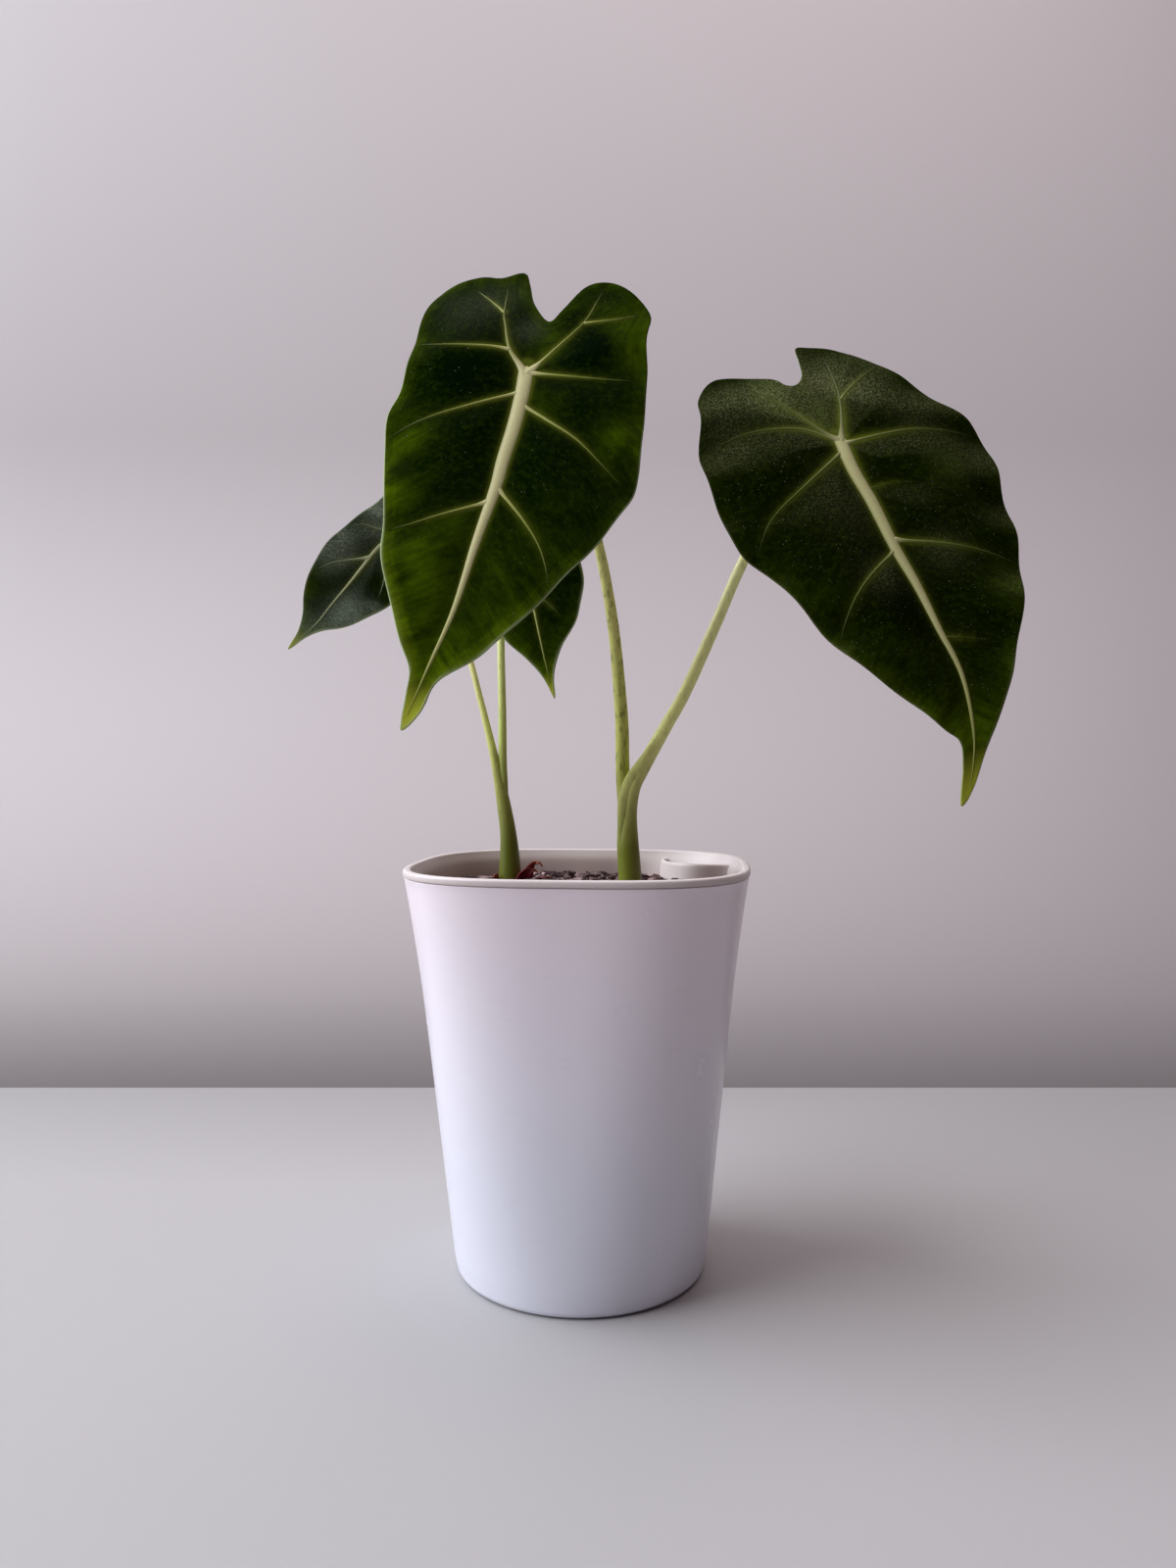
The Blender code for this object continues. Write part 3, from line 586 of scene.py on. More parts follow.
@dataclass(frozen=True)
class PottingMix:
    """Damp bark and coir: dark plum-brown lumps, some paler and drier ones, no shine."""

    name: str = "damp_potting_mix"
    damp: str = "#3f2a2e"
    dry: str = "#e6c6c8"
    bark: str = "#5a3a2b"
    pit: str = "#24151a"
    crumb_mm: float = 1.3

    def make(self) -> bpy.types.Material:
        """Builds the material."""
        shader = Shader(self.name)
        marks = shader.add("Attribute", output="Vector", attribute_name="lump_marks")
        marks = shader.add("SeparateXYZ", (marks,)).node.outputs
        place = shader.add("TexCoord", output="Object")
        crumb = shader.add("TexNoise", (place, 1 / (self.crumb_mm * MM), 6.0, 0.7))
        dryness = shader.add("MapRange", (marks["X"], 0.35, 1.0))
        colour = shader.add("Mix", (dryness, self.damp, self.dry), data_type="RGBA")
        colour = shader.add("Mix", (marks["Y"], colour, self.bark), data_type="RGBA")
        raised = shader.add("MapRange", (crumb, 0.0, 1.0, 0.35, 1.0))
        colour = shader.add("Mix", (raised, self.pit, colour), data_type="RGBA")
        relief = shader.add("Bump", {"Height": crumb, "Strength": 0.8, "Distance": 0.5 * MM})
        inputs = {"Base Color": colour, "Roughness": 0.85, "Normal": relief}
        return shader.done(inputs | {"Specular IOR Level": 0.3})


@dataclass(frozen=True)
class DriedScale:
    """A papery bud scale that dried on the shoot: crimson-brown, rust orange at its thin ends."""

    name: str = "dried_bud_scale_skin"
    crimson: str = "#9a1236"
    rust: str = "#d8885c"
    groove: str = "#520a1c"
    fibre_mm: float = 0.6

    def make(self) -> bpy.types.Material:
        """Builds the material."""
        shader = Shader(self.name)
        marks = shader.add("Attribute", output="Vector", attribute_name="scale_marks")
        thin = shader.add("SeparateXYZ", (marks,), "X")
        place = shader.add("TexCoord", output="Object")
        drawn = shader.add("VectorMath", (place, (1.0, 1.0, 0.2)), operation="MULTIPLY")
        fibre = shader.add("TexNoise", (drawn, 1 / (self.fibre_mm * MM), 3.0))
        colour = shader.add("Mix", (thin, self.crimson, self.rust), data_type="RGBA")
        colour = shader.add("Mix", (fibre, self.groove, colour), data_type="RGBA")
        relief = shader.add("Bump", {"Height": fibre, "Strength": 0.6, "Distance": 0.2 * MM})
        return shader.done({"Base Color": colour, "Roughness": 0.7, "Normal": relief})


@dataclass(frozen=True)
class PotShape:
    """The plan and side of the pot: round at the foot, a rounded square at the rim."""

    height: float = 145.0
    turn: float = math.radians(-5.6)
    foot_half: float = 44.8
    taper: float = 0.0955
    flare: float = 1.75
    flare_start: float = 90.0
    foot_exponent: float = 2.0
    rim_exponent: float = 2.97
    sides: int = 176

    def half_width(self, z: float) -> float:
        """Half the pot's width at a height."""
        share = max(0.0, (z - self.flare_start) / (self.height - self.flare_start))
        return self.foot_half + self.taper * z + self.flare * share**2

    def exponent(self, z: float) -> float:
        """How square the plan is at a height."""
        share = min(1.0, z / self.height)
        return self.foot_exponent + (self.rim_exponent - self.foot_exponent) * share

    def radius(self, z: float, half: float, angle: np.ndarray) -> np.ndarray:
        """Distance from the axis to the plan's outline, in the pot's own directions.

        Args:
            z: the height.
            half: half the plan's width there.
            angle: directions from the axis.

        Returns:
            One distance for each direction.
        """
        power = self.exponent(z)
        spread = np.abs(np.cos(angle)) ** power + np.abs(np.sin(angle)) ** power
        return half / spread ** (1 / power)

    def loft(self, profile: list) -> Sheet:
        """A closed skin through plan outlines, closed at both ends by a fan.

        Args:
            profile: the outlines as (height, half width), from the underside's middle on.

        Returns:
            The skin, turned as the pot stands.
        """
        angle = 2 * math.pi * np.arange(self.sides) / self.sides
        rows = []
        for z, half in profile:
            radius = self.radius(z, half, angle)
            row = np.stack([radius * np.cos(angle), radius * np.sin(angle)], 1) @ self.turned()
            rows.append(np.column_stack([row, np.full(self.sides, z)]))
        ends = [[[0, 0, profile[0][0]]], [[0, 0, profile[-1][0]]]]
        return Sheet(np.vstack(rows + ends), fanned(len(profile), self.sides), {})

    def turned(self) -> np.ndarray:
        """The matrix that turns rows of (x, y) by the pot's turn."""
        c = math.cos(self.turn)
        s = math.sin(self.turn)
        return np.array([[c, s], [-s, c]])


POT_SHAPE = PotShape()


def quarter(centre: tuple, radius: float, start: float, end: float, steps: int = 5) -> list:
    """Points of a rounded edge in a profile, as (height, half width).

    Args:
        centre: the arc's centre, as (height, half width).
        radius: the arc's radius.
        start: where it starts, in degrees from outwards towards up.
        end: where it ends.
        steps: how many spans it has.

    Returns:
        The points in order.
    """
    points = []
    for i in range(steps + 1):
        angle = math.radians(start + (end - start) * i / steps)
        points.append((centre[0] + radius * math.sin(angle), centre[1] + radius * math.cos(angle)))
    return points


@dataclass(frozen=True)
class OuterPot:
    """The white outer pot: a thin shell with a rounded foot and a rim under the liner's lip."""

    shape: PotShape = POT_SHAPE
    wall: float = 1.8
    edge: float = 142.5
    edge_rounding: float = 0.5
    foot_rounding: float = 3.0
    middle_half: float = 10.0
    underside_half: float = 30.0
    levels: int = 40
    speck: tuple = (-18.9, -54.7, 42.4)

    def build(self) -> None:
        """Makes the pot in place of its solid."""
        shape = self.shape
        foot = self.foot_rounding
        base = shape.half_width(0.0)
        top = self.edge - self.edge_rounding
        rim = shape.half_width(self.edge)
        heights = [foot + (top - foot) * i / self.levels for i in range(1, self.levels + 1)]
        profile = [(0.0, self.middle_half), (0.0, self.underside_half)]
        profile += quarter((foot, base - foot), foot, -90, 0, 8)
        profile += [(z, shape.half_width(z)) for z in heights]
        profile += quarter((top, rim - self.edge_rounding), self.edge_rounding, 0, 90)[1:]
        profile += [(self.edge, rim - self.wall)]
        profile += [(z, shape.half_width(z) - self.wall) for z in reversed(heights[:-1])]
        profile += [(self.wall + foot * 0.4, base - self.wall - 0.4), (self.wall, base - foot)]
        profile += [(self.wall, self.middle_half)]
        # The lower colour is painted shade towards the foot.
        finish = GlossPolypropylene(
            "white_gloss_polypropylene", "#f5e9f0", 0.2, "#e4e5f0", speck=self.speck
        )
        pot = shape.loft(profile).piece("white_outer_pot", [finish.make()], 35)
        hand_over(pot, "outer_pot", "outer_pot")


@dataclass(frozen=True)
class Port:
    """The fill port's curved wall: a leaning cone across one corner of the liner."""

    top: float = 142.0
    floor: float = 34.0
    top_centre: float = 48.5
    floor_centre: float = 38.5
    top_radius: float = 21.0
    floor_radius: float = 18.0
    wall: float = 1.5
    facing: float = math.radians(225)

    def circle(self, z: float) -> tuple[float, float]:
        """Where the circle's centre lies, along x as along y, and its radius, at a height.

        Args:
            z: the height.

        Returns:
            The centre and the radius.
        """
        share = (z - self.floor) / (self.top - self.floor)
        centre = self.floor_centre + share * (self.top_centre - self.floor_centre)
        return centre, self.floor_radius + share * (self.top_radius - self.floor_radius)


@dataclass(frozen=True)
class PlantingLiner:
    """The liner that holds the soil: a lip on the pot's edge, a tapering wall and the fill port."""

    shape: PotShape = POT_SHAPE
    port: Port = Port()
    lip_underside: float = 142.6
    lip_half: float = 60.3
    lip_inner_half: float = 57.7
    lip_rounding: float = 0.9
    under_rounding: float = 0.3
    inner_rounding: float = 0.8
    floor_underside: float = 34.0
    floor: float = 2.0
    wall: float = 1.6
    middle_half: float = 8.0
    floor_half: float = 43.8
    top_half: float = 57.2
    shoulder: float = 139.5
    levels: int = 12
    inner_levels: tuple = (142.5, 141.0, 139.5, 136.0, 130.0, 115.0, 95.0, 75.0, 55.0, 38.0)
    drains: int = 8
    drain_ring: float = 27.0
    drain_radius: float = 2.5
    arc_steps: int = 48
    fillet: float = 1.4
    port_sink: float = 0.8
    port_drops: tuple = (1.6, 3.0, 6.0, 12.0, 24.0)
    port_levels: tuple = (90.0, 70.0, 50.0)
    port_round: int = 6
    # Painted shade inside the liner: weakest round the first point, with a patch of it round the second.
    lit_corner: tuple = (50.0, 40.0, 141.0)
    shade_spot: tuple = (46.0, 18.0, 136.5)

    def bore_half(self, z: float) -> float:
        """Half the width of the liner's hollow at a height.

        Args:
            z: the height.

        Returns:
            The half width.
        """
        if z > self.shoulder:
            share = (z - self.shoulder) / (self.shape.height - self.shoulder)
            start = self.top_half - self.wall
            return start + share * (self.lip_inner_half - start)
        low = self.floor_underside + self.floor
        share = (z - low) / (self.shoulder - low)
        return self.floor_half + share * (self.top_half - self.floor_half) - self.wall

    def build(self) -> None:
        """Makes the liner in place of its solid."""
        finish = GlossPolypropylene(
            "white_satin_polypropylene",
            "#dcd1cf",
            0.32,
            lit_point=self.lit_corner,
            shade_point=self.shade_spot,
        ).make()
        shell = self.shell().piece("planting_liner_shell", [finish], 35)
        self.cut_floor(shell)
        hand_over(shell, "planting_liner", "planting_liner")
        hand_over(self.port_wall().piece("fill_port_wall", [finish], 50), "planting_liner")

    def shell(self) -> Sheet:
        """The lip, wall and floor as one skin."""
        high = self.shape.height
        bottom = self.floor_underside
        profile = [(bottom, self.middle_half), (bottom, self.floor_half - 1)]
        profile += [(bottom + 1, self.floor_half)]
        for i in range(1, self.levels + 1):
            share = i / self.levels
            z = bottom + share * (self.shoulder - bottom)
            profile.append((z, self.floor_half + share * (self.top_half - self.floor_half)))
        lip = self.lip_underside
        under = self.under_rounding
        profile += [(lip, self.top_half + 0.3), (lip, self.lip_half - 0.5)]
        profile += quarter((lip + under, self.lip_half - under), under, -90, 0, 3)
        rise = self.lip_rounding
        profile += quarter((high - rise, self.lip_half - rise), rise, 0, 90, 7)
        inner = self.inner_rounding
        profile += quarter((high - inner, self.lip_inner_half + inner), inner, 90, 180, 6)
        profile += [(z, self.bore_half(z)) for z in self.inner_levels]
        low = bottom + self.floor
        profile += [(low, self.bore_half(low) - 2), (low, self.middle_half)]
        return self.shape.loft(profile)

    def cut_floor(self, shell: bpy.types.Object) -> None:
        """Cuts the drains through the liner's floor.

        Args:
            shell: the liner's skin, which is cut in place.
        """
        form = bmesh.new()
        for i in range(self.drains):
            angle = 2 * math.pi * i / self.drains + math.pi / 8 + self.shape.turn
            made = bmesh.ops.create_cone(
                form,
                cap_ends=True,
                segments=20,
                radius1=self.drain_radius,
                radius2=self.drain_radius,
                depth=8.0,
            )
            centre = Vector((math.cos(angle), math.sin(angle), 0)) * self.drain_ring
            centre.z = self.floor_underside + 1
            bmesh.ops.translate(form, vec=centre, verts=made["verts"])
        bmesh.ops.scale(form, vec=(MM, MM, MM), verts=form.verts)
        mesh = bpy.data.meshes.new("drains")
        form.to_mesh(mesh)
        form.free()
        cutter = linked("drains", mesh)
        step = shell.modifiers.new("drains", "BOOLEAN")
        step.operation = "DIFFERENCE"
        step.object = cutter
        bpy.context.view_layer.update()
        graph = bpy.context.evaluated_depsgraph_get()
        cut = bpy.data.meshes.new_from_object(shell.evaluated_get(graph))
        shell.modifiers.clear()
        shell.data = cut
        bpy.data.objects.remove(cutter, do_unlink=True)

    def reach(self, z: float, radius: float) -> float:
        """Half the angle over which a circle of the port stands inside the liner's wall.

        Args:
            z: the height.
            radius: the circle's radius.

        Returns:
            The half angle, either side of the direction to the pot's axis.
        """
        centre, _ = self.port.circle(z)
        low = 0.2
        high = math.pi * 0.75
        for _ in range(30):
            half = (low + high) / 2
            angle = self.port.facing + half
            x = centre + radius * math.cos(angle)
            y = centre + radius * math.sin(angle)
            bearing = np.array([math.atan2(y, x)])
            wall = self.shape.radius(z, self.bore_half(z) + self.port_sink, bearing)[0]
            if math.hypot(x, y) < wall:
                low = half
            else:
                high = half
        return low

    def port_wall(self) -> Sheet:
        """The port's wall with a rounded top and fillets where it meets the liner's wall."""
        crest = self.port.wall / 2
        top = self.port.top
        heights = [top - crest] + [top - drop for drop in self.port_drops]
        heights += [*self.port_levels, self.floor_underside + self.floor - 0.6]
        rows = [(z, 0.0) for z in reversed(heights)]
        for k in range(1, self.port_round):
            a = math.pi * k / self.port_round
            rows.append((top - crest + crest * math.sin(a), crest - crest * math.cos(a)))
        rows += [(z, self.port.wall) for z in heights]
        share = np.linspace(-1, 1, self.arc_steps + 1)
        rings = []
        for z, inset in rows:
            centre, radius = self.port.circle(z)
            radius -= inset
            half = self.reach(z, radius)
            away = half * (1 - np.abs(share)) * radius
            flare = self.fillet * np.exp(-away / self.fillet) * (1 if inset < crest else -1)
            angle = self.port.facing + half * share
            x = centre + (radius + flare) * np.cos(angle)
            y = centre + (radius + flare) * np.sin(angle)
            flat = np.stack([x, y], 1) @ self.shape.turned()
            rings.append(np.column_stack([flat, np.full(len(share), z)]))
        count = len(share)
        faces = ring_faces(len(rings), count, wrap=False)
        last = (len(rings) - 1) * count
        faces += [(i + 1, i, last + i, last + i + 1) for i in range(self.arc_steps)]
        starts = range(0, len(rings) * count, count)
        faces += [tuple(starts), tuple(s + count - 1 for s in reversed(starts))]
        return Sheet(np.vstack(rings), faces, {})


@dataclass(frozen=True)
class Soil:
    """Potting mix in the liner: a lumpy bed with bark chips, crumbs and coir fibres on it."""

    liner: PlantingLiner = PlantingLiner()
    clearance: float = 0.3
    top: float = 134.9
    underside: float = 36.4
    side_levels: tuple = (130.0, 110.0, 90.0, 70.0, 50.0, 36.4)
    relief: float = 1.3
    patch: float = 9.0
    fine_relief: float = 0.5
    fine_patch: float = 2.4
    mound: float = 1.2
    mound_centre: tuple = (-3.0, 10.0)
    mound_reach: float = 30.0
    bearings: int = 220
    rings: int = 60
    feet: tuple = ((17.5, 0.0), (-27.0, 20.0))
    chips: int = 420
    chip_size: tuple = (3.0, 7.2)
    chip_corners: int = 14
    crumbs: int = 900
    crumb_size: tuple = (0.9, 2.2)
    crumb_corners: int = 9
    lump_depth: tuple = (0.6, 0.8)
    tilt: float = 0.6
    rise: tuple = (-0.2, 0.35)
    spread: float = 57.0
    fibres: int = 110
    fibre_points: int = 50
    fibre_bends: int = 5
    fibre_step: float = 2.2
    fibre_spread: float = 50.0
    fibre_radius: float = 0.14
    seed: int = 7

    def edge(self, z: float, bearing: np.ndarray, spare: float) -> np.ndarray:
        """How far from the axis the soil reaches: to the liner's wall, or to the port's.

        Args:
            z: the height.
            bearing: directions from the axis, in the world.
            spare: how far it stays clear of the walls.

        Returns:
            One distance for each direction.
        """
        own = bearing - self.liner.shape.turn
        wall = self.liner.shape.radius(z, self.liner.bore_half(z) - spare, own)
        centre, radius = self.liner.port.circle(z)
        radius += spare
        middle = math.hypot(centre, centre)
        aside = own - math.pi / 4
        reach = radius**2 - (middle * np.sin(aside)) ** 2
        near = np.where(
            (reach > 0) & (np.cos(aside) > 0),
            middle * np.cos(aside) - np.sqrt(np.maximum(reach, 0)),
            np.inf,
        )
        return np.minimum(wall, near)

    def height(self, x: float, y: float) -> float:
        """The bed's height at a place, with its lumps and the low mound round the shoots.

        Args:
            x: the place's x.
            y: its y.

        Returns:
            The height.
        """
        bumps = noise.noise(Vector((x / self.patch, y / self.patch, 0.0)))
        fine = noise.noise(Vector((x / self.fine_patch, y / self.fine_patch, 4.0)))
        away = math.dist((x, y), self.mound_centre) / self.mound_reach
        swell = self.mound * math.exp(-(away**2))
        return self.top + self.relief * bumps + self.fine_relief * fine + swell

    def build(self) -> None:
        """Makes the soil in place of its solid."""
        bed = self.bed()
        draw = random.Random(self.seed)
        for sheet in (self.lumps(draw), self.strands(draw)):
            bed = bed.joined(sheet)
        piece = bed.piece("potting_mix", [PottingMix().make()], 30)
        hand_over(piece, "soil", "soil")

    def bed(self) -> Sheet:
        """The soil's body: a lumpy top, sides along the liner and a flat underside."""
        bearing = 2 * math.pi * np.arange(self.bearings) / self.bearings
        edge = self.edge(self.top, bearing, self.clearance)
        rows = []
        for ring in range(1, self.rings + 1):
            radius = edge * ring / self.rings
            x = radius * np.cos(bearing)
            y = radius * np.sin(bearing)
            rows.append(np.column_stack([x, y, [self.height(a, b) for a, b in zip(x, y)]]))
        for level in self.side_levels:
            radius = self.edge(level, bearing, self.clearance)
            flat = [radius * np.cos(bearing), radius * np.sin(bearing)]
            rows.append(np.column_stack(flat + [np.full(len(bearing), level)]))
        points = np.vstack(rows + [[[0, 0, self.height(0, 0)]], [[0, 0, self.underside]]])
        marks = np.zeros((len(points), 3))
        marks[:, 0] = [0.5 + 0.9 * noise.noise(Vector(p) / 5) for p in points]
        return Sheet(points, flipped(fanned(len(rows), self.bearings)), {"lump_marks": marks})

    def inside(self, x: float, y: float, spare: float) -> bool:
        """Whether a place is over the soil, some way clear of the walls and of the stalks.

        Args:
            x: the place's x.
            y: its y.
            spare: how far clear it has to be.

        Returns:
            True where something can lie there.
        """
        edge = self.edge(self.top, np.array([math.atan2(y, x)]), spare)[0]
        clear = all(math.dist((x, y), foot) > spare + 1.5 for foot in self.feet)
        return math.hypot(x, y) < edge and clear

    def lumps(self, draw: random.Random) -> Sheet:
        """Bark chips and crumbs: small many-sided lumps, half sunk in the bed.

        Args:
            draw: where the random numbers come from.

        Returns:
            All the lumps with their marks.
        """
        points = []
        faces = []
        tones = []
        for i in range(self.chips + self.crumbs):
            chip = i < self.chips
            size = draw.uniform(*(self.chip_size if chip else self.crumb_size))
            radius = self.spread * math.sqrt(draw.random())
            bearing = draw.uniform(0, 2 * math.pi)
            x = radius * math.cos(bearing)
            y = radius * math.sin(bearing)
            if not self.inside(x, y, size / 2 + 0.4):
                continue
            form = bmesh.new()
            for _ in range(self.chip_corners if chip else self.crumb_corners):
                way = Vector([draw.gauss(0, 1) for _ in range(3)]).normalized()
                deep = draw.uniform(*self.lump_depth)
                form.verts.new((way.x, way.y * deep, way.z * self.lump_depth[0]))
            bmesh.ops.convex_hull(form, input=form.verts)
            loose = [v for v in form.verts if not v.link_faces]
            bmesh.ops.delete(form, geom=loose, context="VERTS")
            lean = Matrix.Rotation(draw.uniform(-self.tilt, self.tilt), 4, "X")
            spin = Matrix.Rotation(draw.uniform(0, 2 * math.pi), 4, "Z")
            lift = draw.uniform(*self.rise) * size / 2
            place = Matrix.Translation((x, y, self.height(x, y) + lift))
            bmesh.ops.transform(
                form, matrix=place @ spin @ lean @ Matrix.Scale(size / 2, 4), verts=form.verts
            )
            form.verts.index_update()
            start = len(points)
            points += [tuple(v.co) for v in form.verts]
            faces += [tuple(start + v.index for v in f.verts) for f in form.faces]
            tone = (draw.random() ** 1.5, 0.8 * draw.random() ** 3, 0.0)
            tones += [tone] * len(form.verts)
            form.free()
        return Sheet(np.array(points), faces, {"lump_marks": np.array(tones)})

    def strands(self, draw: random.Random) -> Sheet:
        """Coir fibres: thin bent threads that lie on the lumps.

        Args:
            draw: where the random numbers come from.

        Returns:
            All the threads with their marks.
        """
        strands = None
        while strands is None or len(strands.points) < self.fibres * self.fibre_points:
            radius = self.fibre_spread * math.sqrt(draw.random())
            bearing = draw.uniform(0, 2 * math.pi)
            heading = draw.uniform(0, 2 * math.pi)
            bend = draw.uniform(-0.5, 0.5)
            x = radius * math.cos(bearing)
            y = radius * math.sin(bearing)
            path = []
            for k in range(self.fibre_bends):
                z = self.height(x, y) + 0.9 + draw.uniform(-0.3, 0.8)
                path.append((x, y, z, self.fibre_radius))
                x += self.fibre_step * math.cos(heading + bend * k)
                y += self.fibre_step * math.sin(heading + bend * k)
            if not all(self.inside(p[0], p[1], 1.0) for p in path):
                continue
            tone = (draw.uniform(0.2, 0.9), draw.uniform(0.3, 1.0), 0.0)
            thread = tube(np.array(path), 1.0, 5, "lump_marks", lambda row, tone=tone: tone)
            strands = thread if strands is None else strands.joined(thread)
        return strands


def tube(rows: np.ndarray, step: float, sides: int, label: str, mark: Callable) -> Sheet:
    """A round stalk or thread along rows of (x, y, z, radius), closed at both ends.

    Args:
        rows: the points it follows, with its radius there.
        step: the spacing of its rings.
        sides: how many sides it has.
        label: the name of its marks.
        mark: gives a ring's marks from its (x, y, z, radius).

    Returns:
        The closed skin.
    """
    path = catmull_rom(rows, step)
    run = np.gradient(path[:, :3], axis=0)
    run /= np.linalg.norm(run, axis=1)[:, None]
    side = np.cross(run[0], (0.0, 1.0, 0.0) if abs(run[0][1]) < 0.9 else (1.0, 0.0, 0.0))
    angle = (2 * math.pi * np.arange(sides) / sides)[:, None]
    rings = []
    for place, way in zip(path, run):
        side = side - way * float(side @ way)
        side /= np.linalg.norm(side)
        over = np.cross(way, side)
        rings.append(place[:3] + place[3] * (np.cos(angle) * side + np.sin(angle) * over))
    points = np.vstack(rings + [path[:1, :3], path[-1:, :3]])
    tones = [mark(place) for place in path for _ in range(sides)] + [mark(path[0]), mark(path[-1])]
    return Sheet(points, fanned(len(path), sides), {label: np.array(tones, float)})


@dataclass(frozen=True)
class Rib:
    """A vein in the leaf's plane: its points (u, v), its widths and how far its root flares."""

    points: tuple
    start_width: float
    end_width: float = 0.5
    flare: float = 1.3
    flare_reach: float = 2.0

    def flared(self, along: float) -> float:
        """How much wider its root makes it at a distance from its start."""
        return 1.15 * self.flare * math.exp(-((along / (self.flare_reach + 1.6)) ** 2))


@dataclass(frozen=True)
class Leaf:
    """One leaf: where its blade hangs, how it is bent, its outline, its veins and its stalk.

    The stalk's points are (x, y, z, radius). The dull spots and olive spots are soft patches of dust
    with painted sheen and of lighter tissue, as (u, v, reach, strength); the upward share is how much
    dust and painted sheen lies on what faces up.
    skin is the stalk's colours from top to foot and how mottled it is. Spacing is the mesh's.
    """

    name: str
    joint: tuple
    tip: tuple
    turn: float
    arch: float
    outline: tuple
    ribs: tuple
    stalk: tuple
    dust: float
    bloom: float
    dust_and_sheen_upward: float
    dust_and_sheen_spots: tuple
    olive: float
    olive_spots: tuple
    paleness: float
    skin: tuple
    film: str = "#757b64"
    dark: str = "#040f02"
    grit: float = 0.3
    margin: str = "#aab688"
    veins: tuple = ("#c2bc8a", "#949a3c")
    pale_side: float = 1.0
    rim: float = 1.0
    hub_glow: float = 0.15
    spacing: float = 1.25
    rings: int = 74
    margin_gaps: tuple = (0.7, 0.4, 0.18, 0.05, 0.0)
    fold: float = 0.22
    fold_rounding: float = 5.0
    droop: float = 0.0055
    thickness: float = 0.7
    quilt: float = 1.1
    quilt_reach: float = 8.0
    wave: float = 1.0
    wave_length: float = 26.0
    slack_reach: float = 18.0
    grown_length: float = 130.0
    hole: float = 1.3
    neck_depths: tuple = (9.0, 4.5)

    def length(self) -> float:
        """From the stalk to the tip."""
        return math.dist(self.joint, self.tip)

    def size(self) -> float:
        """The leaf's size against a grown one."""
        return min(1.0, self.length() / self.grown_length)

    def frame(self) -> Matrix:
        """The blade's frame: columns u, v and w, with its origin at the stalk."""
        joint = Vector(self.joint)
        down = (Vector(self.tip) - joint).normalized()
        across = Vector((0, -1, 0)).cross(down).normalized()
        across = Matrix.Rotation(math.radians(self.turn), 3, down) @ across
        matrix = Matrix((across, down, down.cross(across))).transposed().to_4x4()
        matrix.translation = joint
        return matrix

    def midrib_shift(self, v: np.ndarray) -> np.ndarray:
        """How far the bowed midrib lies beside the straight line from stalk to tip."""
        line = catmull_rom(self.ribs[0].points + ((0.0, self.length()),), 1.0)
        return np.interp(v, line[:, 1], line[:, 0])

    def height(self, u: np.ndarray, v: np.ndarray, edge: np.ndarray) -> np.ndarray:
        """How far the blade stands out of its plane: arched, folded, puffed and waved.

        Args:
            u: places across the blade.
            v: places along it.
            edge: 0 at the stalk and 1 at the margin.

        Returns:
            The height of the blade's middle surface.
        """
        size = self.size()
        along = v / self.length()
        across = u - self.midrib_shift(v)
        aside = np.hypot(across, self.fold_rounding) - self.fold_rounding
        folded = self.fold * aside - self.droop * across * across
        puff = 1 - bell(self.vein_distance(u, v), self.quilt_reach * size)
        phase = np.where(across < 0, 0.0, 2.0)
        wave = np.sin(2 * math.pi * v / (self.wave_length * size) + phase)
        slack = np.minimum(1.0, (across / (self.slack_reach * size)) ** 2)
        rise = self.quilt * puff + self.wave * edge**4 * wave * slack
        return self.arch * 4 * along * (1 - along) + folded + size * rise

    def vein_distance(self, u: np.ndarray, v: np.ndarray, tapered: bool = False) -> np.ndarray:
        """Distance to the nearest vein, or to its edge.

        Args:
            u: places across the blade.
            v: places along it.
            tapered: whether to take half the vein's width off the distance.

        Returns:
            One distance for each place.
        """
        places = np.stack([u, v], 1)
        best = np.full(len(places), np.inf)
        for rib in self.ribs:
            line = catmull_rom(rib.points, 2.5)
            away = distance_to(line, places)
            if tapered:
                near = np.linalg.norm(places[:, None] - line[None, ::2], axis=2).argmin(1)
                share = near / max(1, len(line[::2]) - 1)
                away = np.maximum(away - self.vein_width(rib, share) / 2, 0) + 2.0 * share**3
            best = np.minimum(best, away)
        return best

    def vein_width(self, rib: Rib, share: np.ndarray) -> np.ndarray:
        """A vein's width without its flare.

        Args:
            rib: the vein; the first is the midrib, which is fullest in its upper half.
            share: how far along the vein, from 0 to 1.

        Returns:
            One width for each share.
        """
        width = rib.start_width + share * (rib.end_width - rib.start_width)
        if rib is self.ribs[0]:
            width = width * (1.1 + 0.22 * bell(share - 0.35, 0.25))
        return width

    def surface(self) -> tuple[np.ndarray, np.ndarray, np.ndarray]:
        """The blade's middle surface as rings of points round the stalk.

        Returns:
            Places (u, v) by ring and column, their share from stalk to margin, and the margin.
        """
        margin = catmull_rom(np.array(self.outline, float), self.spacing, closed=True)
        straight = margin.copy()
        straight[:, 0] -= self.midrib_shift(margin[:, 1])
        reach = np.linalg.norm(straight, axis=1)
        inner = straight / reach[:, None] * self.hole * self.size()
        run = reach - self.hole * self.size()
        last, *gaps = self.margin_gaps
        shares = [(1 - last / run) * ring / (self.rings - 1) for ring in range(self.rings)]
        share = np.array(shares + [1 - gap / run for gap in gaps])
        places = inner[None] + share[:, :, None] * (straight - inner)[None]
        places[:, :, 0] += self.midrib_shift(places[:, :, 1].ravel()).reshape(share.shape)
        return places, share, margin


